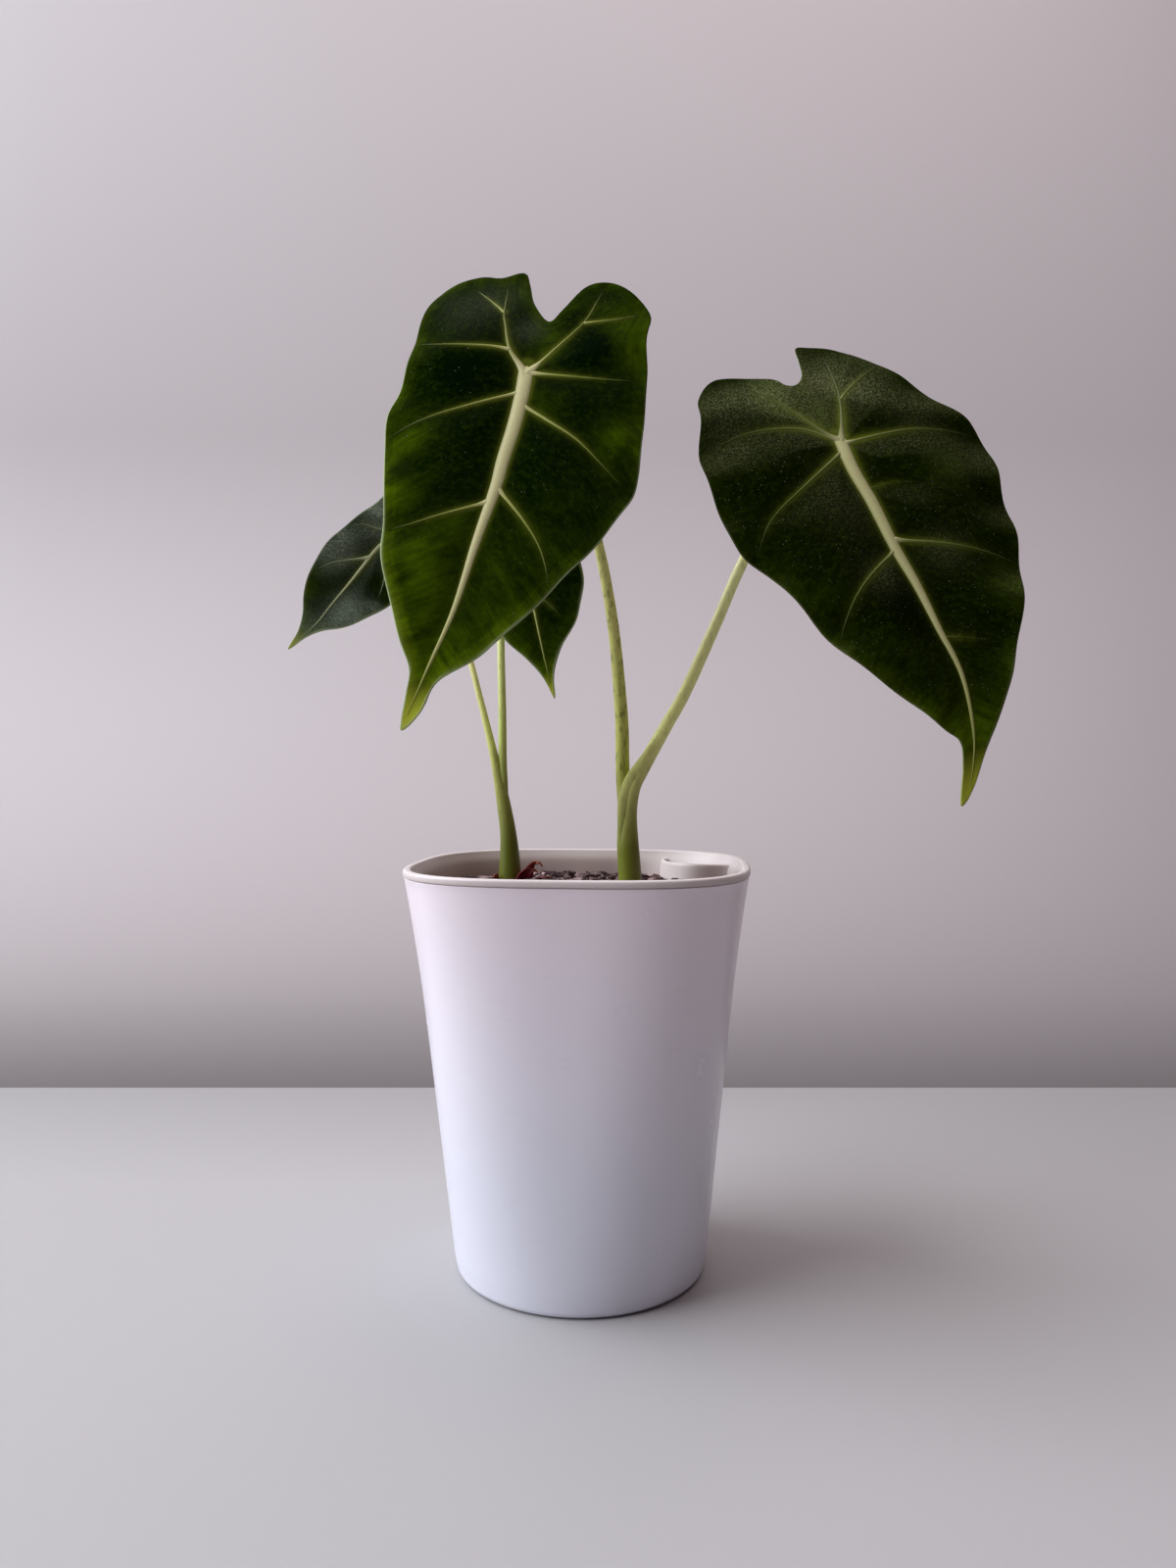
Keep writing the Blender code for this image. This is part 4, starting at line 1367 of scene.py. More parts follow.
@dataclass(frozen=True)
class LeafBlade:
    """A leaf's blade: a thin waved sheet with a rounded pale margin.

    Each vein glow and the rim's glow is its strength and its reach; the inner line is its strength,
    its distance from the margin and its reach. olive_shares is how olive the blade is at the top,
    how much more in its lower part and how much more at its margin; tip_span is where the tip's
    colour starts and is full, from the stalk to the tip.
    """

    leaf: Leaf
    margin_fullness: tuple = (0.92, 0.72, 0.42, 0.0)
    stripe_slopes: tuple = ((-45, -20, 0, 12, 60), (-1.6, -0.8, -0.05, 0.5, 0.8))
    vein_glows: tuple = ((0.42, 0.9), (0.05, 2.8))
    hub_reach: float = 15.0
    rim_glow: tuple = (0.7, 3.2)
    inner_line: tuple = (0.3, 4.0, 0.45)
    olive_shares: tuple = (0.04, 0.4, 0.3)
    tip_span: tuple = (0.86, 0.99)

    def build(self) -> BVHTree:
        """Makes the blade in place of its solid.

        Returns:
            The blade's middle surface in its own frame, for the veins to lie on.
        """
        leaf = self.leaf
        places, share, margin = leaf.surface()
        rows, columns = share.shape
        flat = places.reshape(-1, 2)
        w = leaf.height(flat[:, 0], flat[:, 1], share.ravel())
        middle = np.column_stack([flat, w]).reshape(rows, columns, 3)
        normal = self.normals(middle)
        full = np.ones(rows)
        full[-len(self.margin_fullness):] = self.margin_fullness
        half = leaf.thickness / 2 * full[:, None, None]
        upper = (middle + normal * half).reshape(-1, 3)
        under = (middle - normal * half)[:-1].reshape(-1, 3)
        count = rows * columns
        edge = count - columns
        rim = count + edge - columns
        top = flipped(ring_faces(rows, columns))
        faces = top + ring_faces(rows - 1, columns, count)
        for i in range(columns):
            j = (i + 1) % columns
            faces += [(rim + i, rim + j, edge + j, edge + i), (count + j, count + i, i, j)]
        marks = self.marks(flat, share.ravel(), margin, normal.reshape(-1, 3))
        below = {name: values[:-columns].copy() for name, values in marks.items()}
        below["leaf_marks"][:, 2] = Side.UNDER.value
        marks = {name: np.vstack([values, below[name]]) for name, values in marks.items()}
        sheet = Sheet(placed(np.vstack([upper, under]), leaf.frame()), faces, marks)
        looks = (leaf.dust, leaf.bloom, leaf.film, leaf.dark, leaf.grit, leaf.margin)
        finish = VelvetBlade(leaf.name + "_velvet", *looks).make()
        piece = sheet.piece(leaf.name + "_velvet_blade", [finish], 80)
        hand_over(piece, "blade", leaf.name + "_blade")
        triangles = [(a, b, c) for a, b, c, _ in top] + [(a, c, d) for a, _, c, d in top]
        return BVHTree.FromPolygons(middle.reshape(-1, 3).tolist(), triangles)

    def normals(self, middle: np.ndarray) -> np.ndarray:
        """The directions square to the middle surface, out of its upper face.

        Args:
            middle: the surface's points by ring and column.

        Returns:
            One unit vector for each point.
        """
        outward = np.gradient(middle, axis=0)
        round_about = np.roll(middle, -1, axis=1) - np.roll(middle, 1, axis=1)
        normal = np.cross(outward, round_about)
        normal /= np.maximum(np.linalg.norm(normal, axis=2, keepdims=True), 1e-9)
        return normal * np.where(normal[:, :, 2:] < 0, -1.0, 1.0)

    def spots(self, flat: np.ndarray, spots: tuple) -> np.ndarray:
        """Adds up soft patches.

        Args:
            flat: the points' (u, v).
            spots: the patches, as (u, v, reach, strength).

        Returns:
            One number for each point.
        """
        total = np.zeros(len(flat))
        for u, v, reach, strength in spots:
            total += strength * bell(np.hypot(flat[:, 0] - u, flat[:, 1] - v), reach)
        return total

    def marks(
        self, flat: np.ndarray, share: np.ndarray, margin: np.ndarray, normal: np.ndarray
    ) -> dict:
        """What the finish reads at each point of the blade.

        Args:
            flat: the points' (u, v).
            share: how far each lies from the stalk towards the margin.
            margin: the blade's margin.
            normal: the directions out of the upper face.

        Returns:
            leaf_place is u beside the midrib, v and the stripes' coordinate; leaf_marks is the glow
            beside veins, the pale margin and the face; leaf_tones is how olive the blade is, how
            much of the tip's colour it has and its film of dust and painted sheen.
        """
        leaf = self.leaf
        u, v = flat.T
        size = leaf.size()
        across = u - leaf.midrib_shift(v)
        stripe = v - np.interp(v / size, *self.stripe_slopes) * np.abs(across)
        beside = leaf.vein_distance(u, v, tapered=True)
        glow = sum(strength * bell(beside, reach) for strength, reach in self.vein_glows)
        hub = bell(np.hypot(u, v + 5 * size), self.hub_reach * size)
        glow += leaf.hub_glow * hub * bell(beside, 2.2)
        edge = distance_to(margin, flat, closed=True)
        edge[-len(margin):] = 0.0
        along = v / leaf.length()
        lower = smoothstep(0.3, 0.95, along)
        strength, inset, reach = self.inner_line
        rim = self.rim_glow[0] * bell(edge, self.rim_glow[1]) + strength * bell(edge - inset, reach)
        lower_rim = leaf.rim * (0.25 + 0.75 * lower) * (1 - 0.4 * smoothstep(-6, 6, u))
        top, low, out = self.olive_shares
        olive = leaf.olive * (top + low * lower + out * share**3)
        olive += self.spots(flat, leaf.olive_spots) + rim * lower_rim
        tip = smoothstep(*self.tip_span, along) + 0.3 * bell(edge, 2.6) * lower_rim**2
        up = normal @ np.array(leaf.frame())[2, :3]
        # Film of dust and painted sheen: on the dull spots and on what faces up.
        facing = smoothstep(-0.06, 0.24, up - up.mean())
        film = self.spots(flat, leaf.dust_and_sheen_spots) + leaf.dust_and_sheen_upward * facing
        pale = np.where(across < 0, leaf.pale_side, 0.55) * smoothstep(-0.1, 0.25, along)
        line = pale * smoothstep(0.6, 0.25, edge)
        upper = np.full(len(flat), Side.UPPER.value)
        return {
            "leaf_place": np.stack([across, v, stripe], 1),
            "leaf_marks": np.stack([np.clip(glow, 0, 1), line, upper], 1),
            "leaf_tones": np.stack([olive, np.clip(tip, 0, 1), film], 1),
        }


@dataclass(frozen=True)
class LeafStalk:
    """A leaf's stalk with the veins that spread from it over both faces of the blade."""

    leaf: Leaf
    stalk_finish: bpy.types.Material
    vein_finish: bpy.types.Material
    sides: int = 22
    step: float = 2.0
    rib_step: float = 0.9
    dome_points: int = 9
    sink: float = 0.14
    under_rise: float = 1.5
    dome_height: float = 0.12
    dome_slope: float = 0.26
    fade_power: float = 1.2
    root_reach: float = 0.07
    hub_rings: int = 7
    hub_sides: int = 28
    hub_offset: float = 0.4
    hub_sink: float = 0.28
    hub_heights: tuple = (0.3, 2.2)

    def build(self, surface: BVHTree, extras: tuple = ()) -> None:
        """Makes the stalk and veins in place of their solid.

        Args:
            surface: the blade's middle surface in its own frame.
            extras: further sheets of the stalk's skin, such as a sheath.
        """
        leaf = self.leaf
        matrix = leaf.frame()
        radius = leaf.stalk[-1][3]
        neck = []
        for depth in (*leaf.neck_depths, 0.0):
            place = matrix @ Vector((0.2, 0.0, -depth + self.drop(surface, 0.0, 0.1)))
            neck.append((*place, radius + 0.1 if depth else radius))
        rows = np.array(leaf.stalk + tuple(neck))
        sheet = tube(rows, self.step, self.sides, "stalk_marks", lambda row: (row[2], 0.0, row[3]))
        for extra in extras:
            sheet = sheet.joined(extra)
        for face in Side:
            for rib in leaf.ribs:
                sheet = sheet.joined(self.vein(rib, surface, face))
            sheet = sheet.joined(self.hub(surface, face))
        finishes = [self.stalk_finish, self.vein_finish]
        piece = sheet.piece(leaf.name + "_stalk_and_veins", finishes, 60)
        hand_over(piece, "stalk", leaf.name + "_stalk_and_ribs")

    def drop(self, surface: BVHTree, u: float, v: float) -> float:
        """Height of the blade's middle surface over a place, or of its hole's edge.

        Args:
            surface: the blade's middle surface.
            u: the place across the blade.
            v: the place along it.

        Returns:
            The height in the blade's frame.
        """
        hit = surface.ray_cast(Vector((u, v, 100.0)), Vector((0, 0, -1)))[0]
        if hit is None:
            hit = surface.find_nearest(Vector((u, v, 0.0)))[0]
        return hit.z

    def vein(self, rib: Rib, surface: BVHTree, face: Side) -> Sheet:
        """A low rounded ridge that follows the blade and tapers to its end.

        Args:
            rib: the vein; the leaf's first is its midrib.
            surface: the blade's middle surface.
            face: the face of the blade that it stands on.

        Returns:
            The closed ridge, its marks its fading, its side and its width.
        """
        leaf = self.leaf
        midrib = rib is leaf.ribs[0]
        path = catmull_rom(rib.points, self.rib_step)
        run = np.gradient(path, axis=0)
        run /= np.linalg.norm(run, axis=1)[:, None]
        span = np.linspace(-1, 1, self.dome_points)
        ring = list(zip(span, 1 - span**2)) + [(0.7, -1.0), (-0.7, -1.0)]
        points = []
        marks = []
        for i, (place, way) in enumerate(zip(path, run)):
            share = i / (len(path) - 1)
            along = i * self.rib_step
            width = float(leaf.vein_width(rib, np.array(share))) + rib.flared(along)
            thin = 1 - 0.6 * float(smoothstep(0.82, 1.0, np.array(share)))
            nose = math.sqrt(1 - (1 - min(1.0, (along + 0.15) / (width / 2))) ** 2)
            half = width / 2 * thin * nose
            dome = self.dome_height + self.dome_slope * half
            dome *= 1.0 if face is Side.UPPER else self.under_rise
            if midrib and face is Side.UPPER:
                dome *= 0.35 + 0.65 * float(smoothstep(0.0, 9.0, np.array(along)))
            side = np.array([way[1], -way[0]])
            tone = 3.0 - 2.4 * share**3 if midrib else 2 * half
            for aside, up in ring:
                u, v = place + side * aside * half
                lift = leaf.thickness / 2 - self.sink * (1 if up >= 0 else 1.9)
                lift += max(up, 0.0) * (dome + self.sink)
                points.append((u, v, self.drop(surface, float(u), float(v)) + face.value * lift))
                if face is Side.UPPER:
                    marks.append((self.fade(share, midrib), aside if up >= 0 else 0.0, tone))
                else:
                    marks.append((0.0, 0.0, tone))
        faces = capped(len(path), len(ring))
        if face is Side.UNDER:
            faces = flipped(faces)
        points = placed(np.array(points), leaf.frame())
        return Sheet(points, faces, {"stalk_marks": np.array(marks)}, finish=1)

    def fade(self, share: float, midrib: bool) -> float:
        """How far a vein has faded into the blade.

        Args:
            share: how far along the vein, from 0 to 1.
            midrib: whether it is the leaf's middle vein.

        Returns:
            0 where it is pale and 1 where it looks like the blade.
        """
        if midrib:
            return 0.0
        pale = self.leaf.paleness
        root = math.exp(-share / self.root_reach)
        return 1 - pale * (1 - share**self.fade_power) - (1 - pale) * root

    def hub(self, surface: BVHTree, face: Side) -> Sheet:
        """The smooth swelling where the veins meet the stalk.

        Args:
            surface: the blade's middle surface.
            face: the face of the blade that it stands on.

        Returns:
            The open swelling with its marks.
        """
        leaf = self.leaf
        radius = 1.25 * leaf.stalk[-1][3] + 1.3
        high = leaf.size() * self.hub_heights[0 if face is Side.UPPER else 1]
        count = self.hub_sides
        bearings = [2 * math.pi * k / count for k in range(count)]
        spots = [(r / self.hub_rings, b) for r in range(1, self.hub_rings + 1) for b in bearings]
        points = []
        for share, bearing in spots + [(0.0, 0.0)]:
            u = radius * share * math.cos(bearing)
            v = radius * share * math.sin(bearing) + self.hub_offset
            lift = leaf.thickness / 2 - self.hub_sink + high * (1 - share**2)
            points.append((u, v, self.drop(surface, u, v) + face.value * lift))
        faces = ring_faces(self.hub_rings, count)
        faces += [(len(spots), (k + 1) % count, k) for k in range(count)]
        if face is Side.UPPER:
            faces = flipped(faces)
        marks = np.array([(0.0, share, 2.0) for share, _ in spots] + [(0.0, 0.0, 2.0)])
        points = placed(np.array(points), leaf.frame())
        return Sheet(points, faces, {"stalk_marks": marks}, finish=1)


@dataclass(frozen=True)
class SheathWing:
    """The open sheath of the right leaf's stalk: a thin wing that clasps the front leaf's stalk.

    Each row is the wing's root on the stalk, its bulge and its free edge, as (x, y, z).
    """

    rows: tuple = (
        ((15.6, -2.6, 152.0), (14.6, -3.3, 152.0), (13.6, -2.2, 152.0)),
        ((16.3, -2.9, 160.0), (14.6, -3.6, 161.0), (13.1, -2.4, 162.0)),
        ((17.1, -2.7, 166.5), (15.2, -3.4, 168.0), (13.6, -2.2, 169.5)),
        ((18.6, -2.3, 171.5), (17.2, -3.0, 173.9), (16.0, -1.9, 175.9)),
        ((20.9, -1.8, 175.6), (20.0, -2.5, 178.2), (19.2, -1.5, 180.4)),
        ((23.4, -1.2, 180.1), (22.8, -1.9, 182.4), (22.2, -1.0, 184.2)),
        ((25.9, -0.5, 185.0), (25.5, -1.0, 186.4), (25.0, -0.3, 187.8)),
        ((28.2, 0.4, 189.6), (27.9, 0.2, 190.0), (27.5, 0.4, 190.4)),
    )
    thickness: float = 0.7
    edge_fullness: tuple = (0.75, 0.3)
    across: int = 9
    step: float = 1.6

    def sheet(self) -> Sheet:
        """The wing as a closed thin skin with the stalk's marks."""
        fine = catmull_rom(np.array([sum(row, ()) for row in self.rows]), self.step)
        t = np.linspace(0, 1, self.across)[:, None]
        bows = [(1 - t) ** 2 * r[:3] + 2 * t * (1 - t) * r[3:6] + t**2 * r[6:] for r in fine]
        front = np.array(bows)
        out = np.cross(np.gradient(front, axis=0), np.gradient(front, axis=1))
        out /= np.linalg.norm(out, axis=2, keepdims=True)
        out *= np.where(out[:, :, 1:2] > 0, 1.0, -1.0)
        full = np.ones(self.across)
        full[-len(self.edge_fullness):] = self.edge_fullness
        points, faces = thickened(front, out * self.thickness * full[None, :, None])
        marks = np.stack([points[:, 2], np.zeros(len(points)), np.full(len(points), 2.0)], 1)
        return Sheet(points, faces, {"stalk_marks": marks})


@dataclass(frozen=True)
class BudScale:
    """Dried bud scale at the foot of the left shoot: a cupped leaf of it and four curled strips.

    Each strip is a list of (x, y, z, width) down its middle.
    """

    strips: tuple = (
        ((-21.6, 22.5, 133.5, 4.0), (-21.4, 22.5, 137.0, 5.0), (-20.8, 22.0, 140.5, 5.5),
         (-19.0, 21.5, 142.6, 4.0), (-16.8, 21.0, 142.2, 1.2)),
        ((-23.4, 17.0, 134.0, 5.0), (-22.3, 16.2, 137.2, 5.4), (-21.0, 16.0, 139.8, 4.2),
         (-18.8, 16.2, 141.2, 2.6), (-17.0, 16.6, 140.0, 1.2)),
        ((-21.8, 17.6, 134.0, 4.0), (-20.6, 17.0, 137.8, 4.0), (-19.6, 16.8, 141.0, 3.2),
         (-17.8, 17.0, 143.4, 2.4), (-15.8, 17.2, 143.2, 1.6), (-14.8, 17.3, 141.9, 0.8)),
        ((-17.6, 15.4, 135.4, 3.6), (-15.4, 15.0, 137.6, 4.2), (-12.8, 15.2, 137.9, 2.6)),
        ((-31.6, 17.2, 134.8, 3.0), (-32.4, 16.6, 137.4, 3.2), (-32.0, 16.2, 139.2, 1.6)),
    )
    turns: tuple = (80.0, 25.0, 35.0, 50.0, 60.0)
    cup: float = 1.3
    thickness: float = 0.3
    across: int = 9
    step: float = 0.7
    lean: float = 0.35
    raggedness: float = 0.5

    def build(self) -> None:
        """Makes the scale in place of its solid."""
        whole, *others = [self.strip(np.array(s), number) for number, s in enumerate(self.strips)]
        for other in others:
            whole = whole.joined(other)
        piece = whole.piece("dried_bud_scale_strips", [DriedScale().make()], 60)
        hand_over(piece, "dried_scale", "dried_bud_scale")

    def strip(self, rows: np.ndarray, number: int) -> Sheet:
        """One papery strip, cupped across and crinkled.

        Args:
            rows: the strip's middle, as (x, y, z, width).
            number: which strip it is, which sets its turn and its crinkles.

        Returns:
            The closed strip with its marks.
        """
        share = np.linspace(-1, 1, self.across)
        turn = math.radians(self.turns[number])
        wide = np.array([math.cos(turn), math.sin(turn)])
        rings = []
        for row in catmull_rom(rows, self.step):
            lean = self.lean * math.sin(0.9 * row[2] + number)
            bend = self.cup * share**2 * row[3] / 5
            ragged = [noise.noise(Vector((s * 2.1, row[2] / 1.7, number))) for s in share]
            aside = share[:, None] * row[3] / 2 * wide
            aside += (bend + lean * share)[:, None] * np.array([wide[1], -wide[0]])
            height = row[2] + self.raggedness * np.array(ragged)
            rings.append(np.column_stack([row[:2] + aside, height]))
        front = np.array(rings)
        out = np.cross(np.gradient(front, axis=0), np.gradient(front, axis=1))
        out /= np.maximum(np.linalg.norm(out, axis=2, keepdims=True), 1e-9)
        points, faces = thickened(front, out * self.thickness)
        up = np.repeat(np.linspace(0, 1, len(front)), 2 * self.across)
        marks = np.stack([smoothstep(0.5, 0.95, up), up, up], 1)
        return Sheet(points, flipped(faces), {"scale_marks": marks})


def paired(ribs: tuple, left_share: float) -> tuple:
    """Repeats side veins on the other half of a leaf.

    Args:
        ribs: the right half's side veins.
        left_share: how far the left ones reach, against the right ones.

    Returns:
        Both halves' side veins.
    """
    left = []
    for rib in ribs:
        points = tuple((-u * left_share, v) for u, v in rib.points)
        left.append(Rib(points, rib.start_width, rib.end_width))
    return ribs + tuple(left)


def closed(right: tuple, left: tuple) -> tuple:
    """An outline from the sinus down the right half to the tip and back up the left half."""
    return right + tuple((-u, v) for u, v in reversed(left))


FRONT_LEAF = Leaf(
    name="front_leaf",
    joint=(-18.8, -6.0, 319.2),
    tip=(-58.7, -36.0, 191.8),
    turn=12.0,
    arch=7.0,
    outline=(
        (0, -23), (-8, -30), (-13, -39), (-17, -44), (-25, -40), (-33, -39), (-41, -35),
        (-45, -28), (-46.6, -12), (-43.5, 5), (-41.8, 18), (-41.8, 30), (-38, 44), (-31, 60),
        (-25.8, 78), (-18.6, 92.4), (-8.7, 108.6), (-2.8, 117.3), (-1.6, 126), (0, 137), (5, 130),
        (8, 119),
        (21, 107), (32, 89), (43.4, 66.6), (50.6, 46.8), (51, 33), (47, 13.6), (41.6, -8), (37, -22),
        (34, -36), (24, -45), (14, -48), (7, -44), (3, -30),
    ),
    ribs=(
        Rib(
            ((-0.5, -0.8), (2, 10), (4, 24), (5, 39), (6, 50), (6, 71), (6, 95), (3, 117), (0.8, 132)),
            5.3, 0.6, 0.0,
        ),
        Rib(((1.4, 7), (-1.2, 1), (-9, -7), (-14.5, -17.5), (-17, -23), (-21, -38)), 1.7, 0.5, 2.6, 8.5),
        Rib(((-17, -23), (-23, -27), (-31, -32)), 1.2, 0.5, 0.3),
        Rib(((-8.5, -6.8), (-15, -6.5), (-24.5, -5), (-36, -3.5), (-43.5, -3)), 1.4, 0.5, 0.8),
        Rib(((2, 10), (-5.5, 15), (-14.5, 21), (-24, 27), (-30.5, 32), (-38, 39)), 1.5, 0.5, 1.6),
        Rib(((5.5, 55), (-6.5, 62.5), (-15.5, 68), (-25, 73)), 1.4, 0.4, 1.6),
        Rib(((0, 3), (2.4, -1.4), (5.5, -8), (12.5, -25), (13.5, -37), (13.5, -44)), 1.5, 0.5, 3.0, 4.5),
        Rib(((12.5, -25), (22.5, -29), (31, -34)), 1.2, 0.5, 0.3),
        Rib(((0.6, 1.6), (15.5, 0.5), (26.5, -1), (38, -3.5)), 1.3, 0.5, 1.8, 3.5),
        Rib(((2.4, 15), (15.2, 20.4), (27.2, 25.6), (37.3, 32), (46.6, 38)), 1.5, 0.4, 1.8),
        Rib(((6, 49), (10, 52), (19, 59), (26.5, 66), (31.5, 73), (35, 80)), 1.4, 0.4, 1.8),
    ),
    stalk=(
        (16.8, 2.6, 151.0, 2.2), (15.4, 3.0, 172.0, 2.5), (15.1, 3.0, 182.0, 2.5),
        (14.7, 3.0, 198.0, 2.4), (12.2, 2.0, 226.0, 2.1), (8.9, 0.5, 247.0, 1.95),
        (6.2, -0.5, 259.5, 1.8), (2.6, 0.0, 274.8, 1.6), (-3.6, 1.5, 294.0, 1.6),
        (-11.0, 4.5, 310.5, 1.7),
    ),
    dust=0.1,
    bloom=0.001,
    dust_and_sheen_upward=0.02,
    dust_and_sheen_spots=((-30, -20, 12, 0.16), (-21, -30, 9, 0.12), (-5, -17, 6, 0.22), (-23, 5, 9, -0.06)),
    olive=0.24,
    olive_spots=(
        (-30, 38, 8, 0.3), (-28, 60, 9, 0.32), (-12, 86, 13, 0.36), (24, 84, 12, 0.14),
        (38, -18, 10, 0.3), (45, 23, 10, 0.4), (4, -13, 6, 0.4), (26, -28, 10, 0.25),
        (12, 14, 6, 0.12), (2, 110, 10, 0.4), (20, 62, 10, 0.06), (-3, 66, 7, 0.1),
        (22, -16, 8, -0.16), (-23, 5, 9, -0.1),
    ),
    paleness=1.0,
    skin=("#e6e28e", "#c0c460", "#676b1c", 0.75, 0.32),
)

RIGHT_LEAF = Leaf(
    name="right_leaf",
    joint=(93.1, 2.0, 296.5),
    tip=(126.2, -34.0, 167.3),
    turn=-10.0,
    arch=7.0,
    outline=(
        (-6.5, -28.5), (-10.5, -29), (-14, -33), (-22, -35.5), (-35, -38), (-43, -31), (-46, -20),
        (-51, -3), (-51.4, 20), (-49.6, 36.2), (-42.8, 48), (-35.7, 62.8), (-27.4, 80.3),
        (-15.5, 95.4), (-1.7, 112.5), (4.2, 118.3), (3, 127), (-0.9, 138.6), (5, 134), (12.4, 123),
        (21.2, 111), (33.2, 91), (43.3, 70), (48.6, 52), (50.2, 40), (52, 30), (56, 14), (52.4, -2.5),
        (42.1, -13.2), (32.3, -26.2), (23.5, -36.5), (14, -44),
        (6, -47), (1, -47.8), (-0.4, -41), (-2.4, -33),
    ),
    ribs=(
        Rib(
            (
                (0, -2), (-0.3, 13), (1.5, 28), (3.2, 47), (6, 62), (8.5, 79), (11.5, 97), (9.5, 118),
                (4, 133),
            ),
            4.9, 0.6, 0.0,
        ),
        Rib(((0, 1), (4, -9), (7, -18.5), (8.5, -27.5), (9.5, -40)), 1.6, 0.5, 1.8, 4.0),
        Rib(((7, -18.5), (12, -22.5), (20.5, -28), (27, -31)), 1.1, 0.5, 0.3),
        Rib(((0, 0), (-5, -5), (-12.5, -15.5), (-23.5, -29), (-31, -34)), 1.6, 0.5, 1.6, 3.0),
        Rib(((0, 0.5), (-11, -6.5), (-22, -9), (-33.5, -9.5), (-46, -7)), 1.5),
        Rib(((0.5, 3.5), (-4, 6.8), (-19.5, 17), (-32, 25), (-38, 30.5), (-43, 38)), 1.4),
        Rib(((4, 47.5), (-7, 54.5), (-15, 61), (-21, 68), (-26, 76)), 1.4, 0.4, 1.8),
        Rib(((1, 1.5), (14, 1), (28, 1), (44, 3.5), (51.5, 5.5)), 1.4),
        Rib(((3.5, 44), (15, 47.5), (23.5, 50.5), (34, 55), (45, 61)), 1.4, 0.4, 1.8),
        Rib(((1.5, 22.5), (11, 22), (18, 23.5)), 0.34, 0.15, 0.3),
        Rib(((9, 82), (18, 84.5), (24, 86.5)), 0.32, 0.15, 0.3),
    ),
    stalk=(
        (18.0, 0.0, 118.0, 4.1), (17.8, 0.0, 138.0, 4.2), (16.9, 0.0, 153.0, 3.9),
        (17.1, 0.0, 163.0, 3.2), (18.8, 0.0, 172.0, 2.75), (22.1, 1.0, 178.5, 2.6),
        (26.0, 2.0, 185.6, 2.5), (31.7, 3.0, 195.6, 2.3), (38.1, 4.0, 207.0, 2.2),
        (48.8, 7.0, 230.3, 2.05), (58.6, 9.0, 252.8, 1.95), (69.0, 11.5, 272.0, 1.85),
        (79.5, 13.0, 286.0, 1.7),
    ),
    dust=0.55,
    bloom=0.003,
    dust_and_sheen_upward=0.15,
    dust_and_sheen_spots=(
        (-36, -24, 11, 0.16), (-16, -24, 10, 0.4), (4, -28, 9, 0.38), (17, -22, 8, 0.22),
        (32, -8, 10, 0.1), (-42, -8, 10, 0.1), (-4, -12, 7, 0.2), (-5, 56, 8, 0.1), (20, 52, 8, 0.1),
        (-10, 30, 12, 0.06),
    ),
    olive=0.1,
    olive_spots=(
        (42, 72, 11, 0.14), (-30, 60, 11, 0.06), (-14, 92, 9, 0.08), (8, 114, 9, 0.5),
        (33, 18, 12, 0.08), (-3, -12, 6, 0.3), (-14, -22, 10, 0.2), (0, 66, 12, -0.08),
    ),
    paleness=0.48,
    # The top and middle colours are paler than the stalk's tissue: painted light, for the window light
    # that the front leaf's shadow takes from it.
    skin=("#fffcb8", "#f8fc9e", "#737b1e", 0.25, 0.4),
    film="#8b9062",
    dark="#0a1101",
    grit=0.65,
    margin="#656947",
    veins=("#b9b681", "#838c34"),
    rim=0.35,
    hub_glow=0.35,
    pale_side=0.35,
)

YOUNG_VEINS = (
    Rib(((0, 0), (5, -7), (10, -18)), 1.1, 0.4),
    Rib(((0, 1), (7, 1), (15, -1)), 1.0, 0.4),
    Rib(((0, 9), (7, 14), (14, 22)), 1.0, 0.4),
    Rib(((0, 30), (6, 36), (11, 44)), 0.8, 0.4),
)

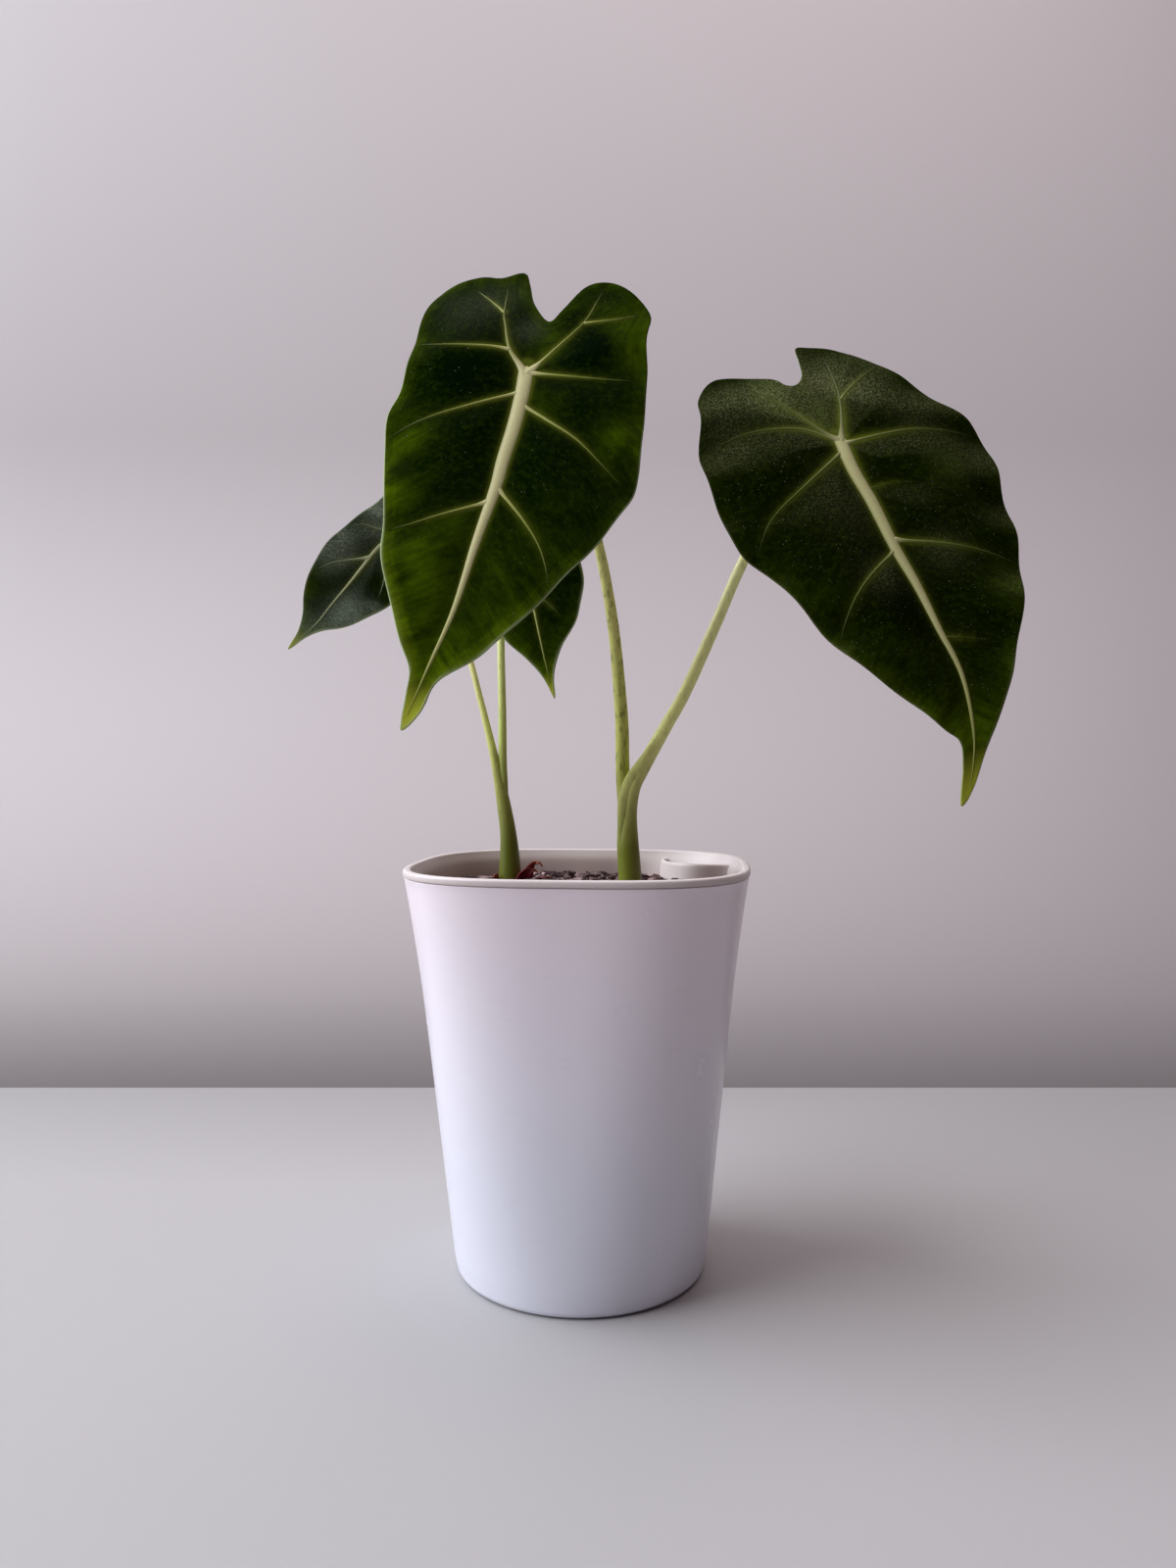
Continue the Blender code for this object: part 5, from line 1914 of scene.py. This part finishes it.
LEFT_LEAF = Leaf(
    name="left_leaf",
    joint=(-63.5, 44.0, 279.2),
    tip=(-114.1, 34.0, 224.7),
    turn=0.0,
    arch=4.0,
    outline=closed(
        right=(
            (0, -12), (4, -18), (7, -24), (12, -25), (16, -20), (18, -10), (18, 4), (17, 17),
            (18, 28), (17, 38), (14, 47), (10, 55), (5, 61), (2, 67), (0, 75),
        ),
        left=(
            (4, -18), (7, -23), (12, -24), (15, -18), (16, -8), (15, 5), (16, 17), (17, 28),
            (16.5, 38), (14, 47), (10, 55), (5, 61), (2, 67),
        ),
    ),
    ribs=(
        Rib(
            ((0, -1), (-1.4, 12), (-2, 22.5), (-1, 31.5), (0, 41), (0.6, 50), (1.4, 60), (0.8, 69)),
            1.8, 0.4, 0.0,
        ),
        Rib(((-1.2, 27), (-6, 33), (-10.5, 39.5), (-12.5, 45)), 1.2, 0.4),
        Rib(((-0.5, 9), (-6.5, 16), (-12.5, 19.5), (-15.5, 25)), 1.2, 0.4),
        Rib(((-1, 18), (1.5, 22), (8.5, 29.5), (12, 36.5)), 1.0, 0.4),
        Rib(((0, 0), (5, -7), (10, -18)), 1.1, 0.4),
        Rib(((0, 0), (-5, -7), (-10, -18)), 1.1, 0.4),
        Rib(((0, 1), (7, 1), (15, -1)), 1.0, 0.4),
        Rib(((0, 2), (-7, 5), (-13, 9)), 1.0, 0.4),
    ),
    stalk=(
        (-27.0, 20.0, 120.0, 4.1), (-26.9, 20.0, 138.0, 4.2), (-27.4, 20.0, 152.4, 3.2),
        (-29.3, 20.0, 165.4, 2.6), (-31.1, 20.0, 174.6, 2.0), (-32.9, 20.0, 183.5, 1.6),
        (-35.5, 22.0, 194.0, 1.35), (-38.8, 24.0, 206.6, 1.2), (-42.0, 26.5, 218.3, 1.15),
        (-46.6, 31.0, 233.0, 1.15), (-52.0, 38.0, 249.0, 1.15), (-57.5, 47.0, 265.0, 1.2),
    ),
    dust=0.05,
    bloom=0.004,
    dust_and_sheen_upward=0.27,
    dust_and_sheen_spots=(
        (-12, 6, 14, 0.6), (2, -10, 14, 0.7), (-14, 34, 8, 0.5), (8, 50, 8, 0.45), (0, 66, 8, 0.3),
    ),
    film="#b2beaa",
    veins=("#b4b88c", "#8f9b78", "#55604c"),
    rim=0.3,
    olive=0.16,
    olive_spots=((0, 70, 8, 0.2),),
    paleness=1.0,
    skin=("#f4e8a6", "#c6c86c", "#616814", 0.3, 0.42),
    pale_side=0.2,
    spacing=1.1,
    rings=40,
)

REAR_LEAF = Leaf(
    name="rear_leaf",
    joint=(-24.8, 22.0, 272.6),
    tip=(-9.6, 8.0, 205.0),
    turn=18.0,
    arch=4.0,
    outline=closed(
        right=(
            (0, -11), (4, -17), (8, -22), (13, -23), (18, -18), (20, -8), (20, 5), (21, 17),
            (23, 28), (21.5, 37), (17, 46), (9, 54), (4, 60), (1.5, 65), (0, 71.5),
        ),
        left=(
            (3, -17), (6, -21), (10, -23), (14, -18), (16, -8), (16, 5), (16, 17), (17, 28),
            (15.5, 37), (12.2, 46), (6.8, 54), (3.4, 60), (1.6, 65),
        ),
    ),
    ribs=(Rib(((0, -1), (1, 20), (1, 38), (0, 66)), 1.5, 0.5, 0.0),) + paired(YOUNG_VEINS, 0.85),
    stalk=(
        (-28.3, 20.0, 150.0, 1.45), (-29.2, 20.0, 172.0, 1.6), (-29.6, 20.0, 181.0, 1.6),
        (-29.7, 20.0, 200.0, 1.5), (-30.3, 22.0, 226.0, 1.4), (-30.2, 26.0, 247.0, 1.3),
        (-28.2, 30.5, 263.0, 1.25),
    ),
    dust=0.03,
    bloom=0.002,
    dust_and_sheen_upward=0.0,
    dust_and_sheen_spots=(),
    olive=0.2,
    olive_spots=((0, 62, 8, 0.25),),
    veins=("#a9aa66", "#6f7a2c"),
    rim=0.45,
    paleness=0.3,
    skin=("#e0e39c", "#c0ca6c", "#616814", 0.25, 0.42),
    pale_side=0.4,
    spacing=1.1,
    rings=40,
)


@dataclass(frozen=True)
class Plant:
    """The four leaves, the sheath and the dried scale."""

    leaves: tuple = (FRONT_LEAF, RIGHT_LEAF, LEFT_LEAF, REAR_LEAF)
    wing: SheathWing = SheathWing()
    scale: BudScale = BudScale()

    def build(self) -> None:
        """Makes every leaf and what stands at their feet."""
        for leaf in self.leaves:
            surface = LeafBlade(leaf).build()
            skin = GreenStalk(leaf.name + "_stalk_skin", *leaf.skin).make()
            veins = PaleVein(leaf.name + "_vein", *leaf.veins).make()
            extras = (self.wing.sheet(),) if leaf is RIGHT_LEAF else ()
            LeafStalk(leaf, skin, veins).build(surface, extras)
        self.scale.build()


@dataclass(frozen=True)
class Studio:
    """Camera, soft light from the left, a pale floor that sweeps up into a plain backdrop with painted
    shade on floor and wall.
    """

    camera_place: tuple = (0.0026, -0.4057, 0.1831)
    pitch: float = 1.39
    lens: float = 25.875
    sensor: float = 36.0
    floor_colour: str = "#adabac"
    back_left: str = "#aba4a5"
    back_right: str = "#c6bfc1"
    shade_colour: str = "#1d1518"
    floor_end: float = 0.2136
    floor_fade: float = 0.14
    floor_reach: float = 4.0
    bend_start: float = 0.45
    bend_radius: float = 0.6
    bend_steps: int = 24
    wall_top: float = 3.0
    room_colour: str = "#e2b9c8"
    room_strength: float = 0.09

    def build(self) -> None:
        """Sets up the stage, the lights and the camera."""
        self.stage()
        self.lights()
        data = bpy.data.cameras.new("camera")
        data.lens = self.lens
        data.sensor_width = self.sensor
        camera = linked("camera", data)
        camera.location = self.camera_place
        camera.rotation_euler = (math.radians(90 - self.pitch), 0, 0)
        bpy.context.scene.camera = camera
        bpy.context.scene.view_settings.view_transform = "Standard"

    def stage(self) -> None:
        """The floor and backdrop, one sheet."""
        line = [(-self.floor_reach, 0.0), (self.bend_start, 0.0)]
        for i in range(1, self.bend_steps + 1):
            angle = math.pi / 2 * i / self.bend_steps
            y = self.bend_start + self.bend_radius * math.sin(angle)
            line.append((y, self.bend_radius * (1 - math.cos(angle))))
        line.append((self.bend_start + self.bend_radius, self.wall_top))
        points = []
        for y, z in line:
            points += [(-self.floor_reach, y, z), (self.floor_reach, y, z)]
        mesh = bpy.data.meshes.new("studio_sweep")
        faces = [(2 * i, 2 * i + 1, 2 * i + 3, 2 * i + 2) for i in range(len(line) - 1)]
        mesh.from_pydata(points, [], faces)
        mesh.shade_smooth()
        mesh.materials.append(self.backdrop())
        sweep = linked("studio_sweep", mesh)

    def backdrop(self) -> bpy.types.Material:
        """The sweep's paint: a pale floor with painted shade at its far edge, a wall with painted shade
        towards the floor, most at the right, and a little painted light at its top.
        """
        shader = Shader("plain_sweep")
        place = shader.add("TexCoord", output="Object")
        place = shader.add("SeparateXYZ", (place,)).node.outputs
        floor_start = self.floor_end - self.floor_fade
        far = self.bend_start + self.bend_radius
        aside = shader.add("MapRange", (place["X"], -0.7, 0.7))
        # Painted light: the top of the wall is whitened a little.
        high = shader.add("MapRange", (place["Z"], 0.3, 1.0, 0.0, 0.04))
        near = shader.add("MapRange", (place["Y"], self.floor_end, far, 1.0, 0.0))
        # Painted shade: the floor darkens towards its far edge.
        edge = shader.add("MapRange", (place["Y"], floor_start, self.floor_end, 0.0, 0.24))
        behind = shader.add("Math", (place["Y"], self.floor_end), operation="GREATER_THAN")
        # Painted shade: the wall darkens towards the floor, more steeply at the right.
        steepness = shader.add("Math", (aside, -1.9, 2.6), operation="MULTIPLY_ADD")
        fall = shader.add("Math", (near, steepness), operation="POWER")
        shade = shader.add("Math", (fall, 0.76), operation="MULTIPLY")
        layers = ((aside, self.back_right), (high, "#ffffff"), (shade, self.shade_colour))
        wall = self.back_left
        for share, over in layers:
            wall = shader.add("Mix", (share, wall, over), data_type="RGBA")
        floor = (edge, self.floor_colour, self.shade_colour)
        floor = shader.add("Mix", floor, data_type="RGBA")
        paint = shader.add("Mix", (behind, floor, wall), data_type="RGBA")
        return shader.done({"Base Color": paint, "Roughness": 0.55})

    def lights(self) -> None:
        """A large window-like light from the left, a weak one from above, and a dim room."""
        self.area("window_light", (-1.95, -0.14, 1.72), 2.7, 127.0, "#f3f8ff")
        self.area("ceiling_light", (0.25, 0.25, 1.7), 1.6, 12.0, "#fff1ee")
        world = bpy.data.worlds.new("dim_room")
        world.use_nodes = True
        back = world.node_tree.nodes["Background"]
        back.inputs["Color"].default_value = linear(self.room_colour)
        back.inputs["Strength"].default_value = self.room_strength
        bpy.context.scene.world = world

    def area(self, name: str, place: tuple, size: float, power: float, colour: str) -> None:
        """Adds a square light that faces the plant.

        Args:
            name: the light's name.
            place: where it stands, in metres.
            size: its side, in metres.
            power: its power in watts.
            colour: its sRGB hex colour.
        """
        data = bpy.data.lights.new(name, "AREA")
        data.size = size
        data.energy = power
        data.color = linear(colour)[:3]
        light = linked(name, data)
        light.location = place
        aim = Vector((0, 0, 0.17)) - Vector(place)
        light.rotation_euler = aim.to_track_quat("-Z", "Y").to_euler()


def main() -> None:
    """Builds the studio, the pot, its liner, the soil and the plant."""
    logging.basicConfig(level=logging.INFO, format="%(name)s: %(message)s")
    for part in (Studio(), OuterPot(), PlantingLiner(), Soil(), Plant()):
        LOG.info("building %s", type(part).__name__)
        part.build()


if __name__ == "__main__":
    main()
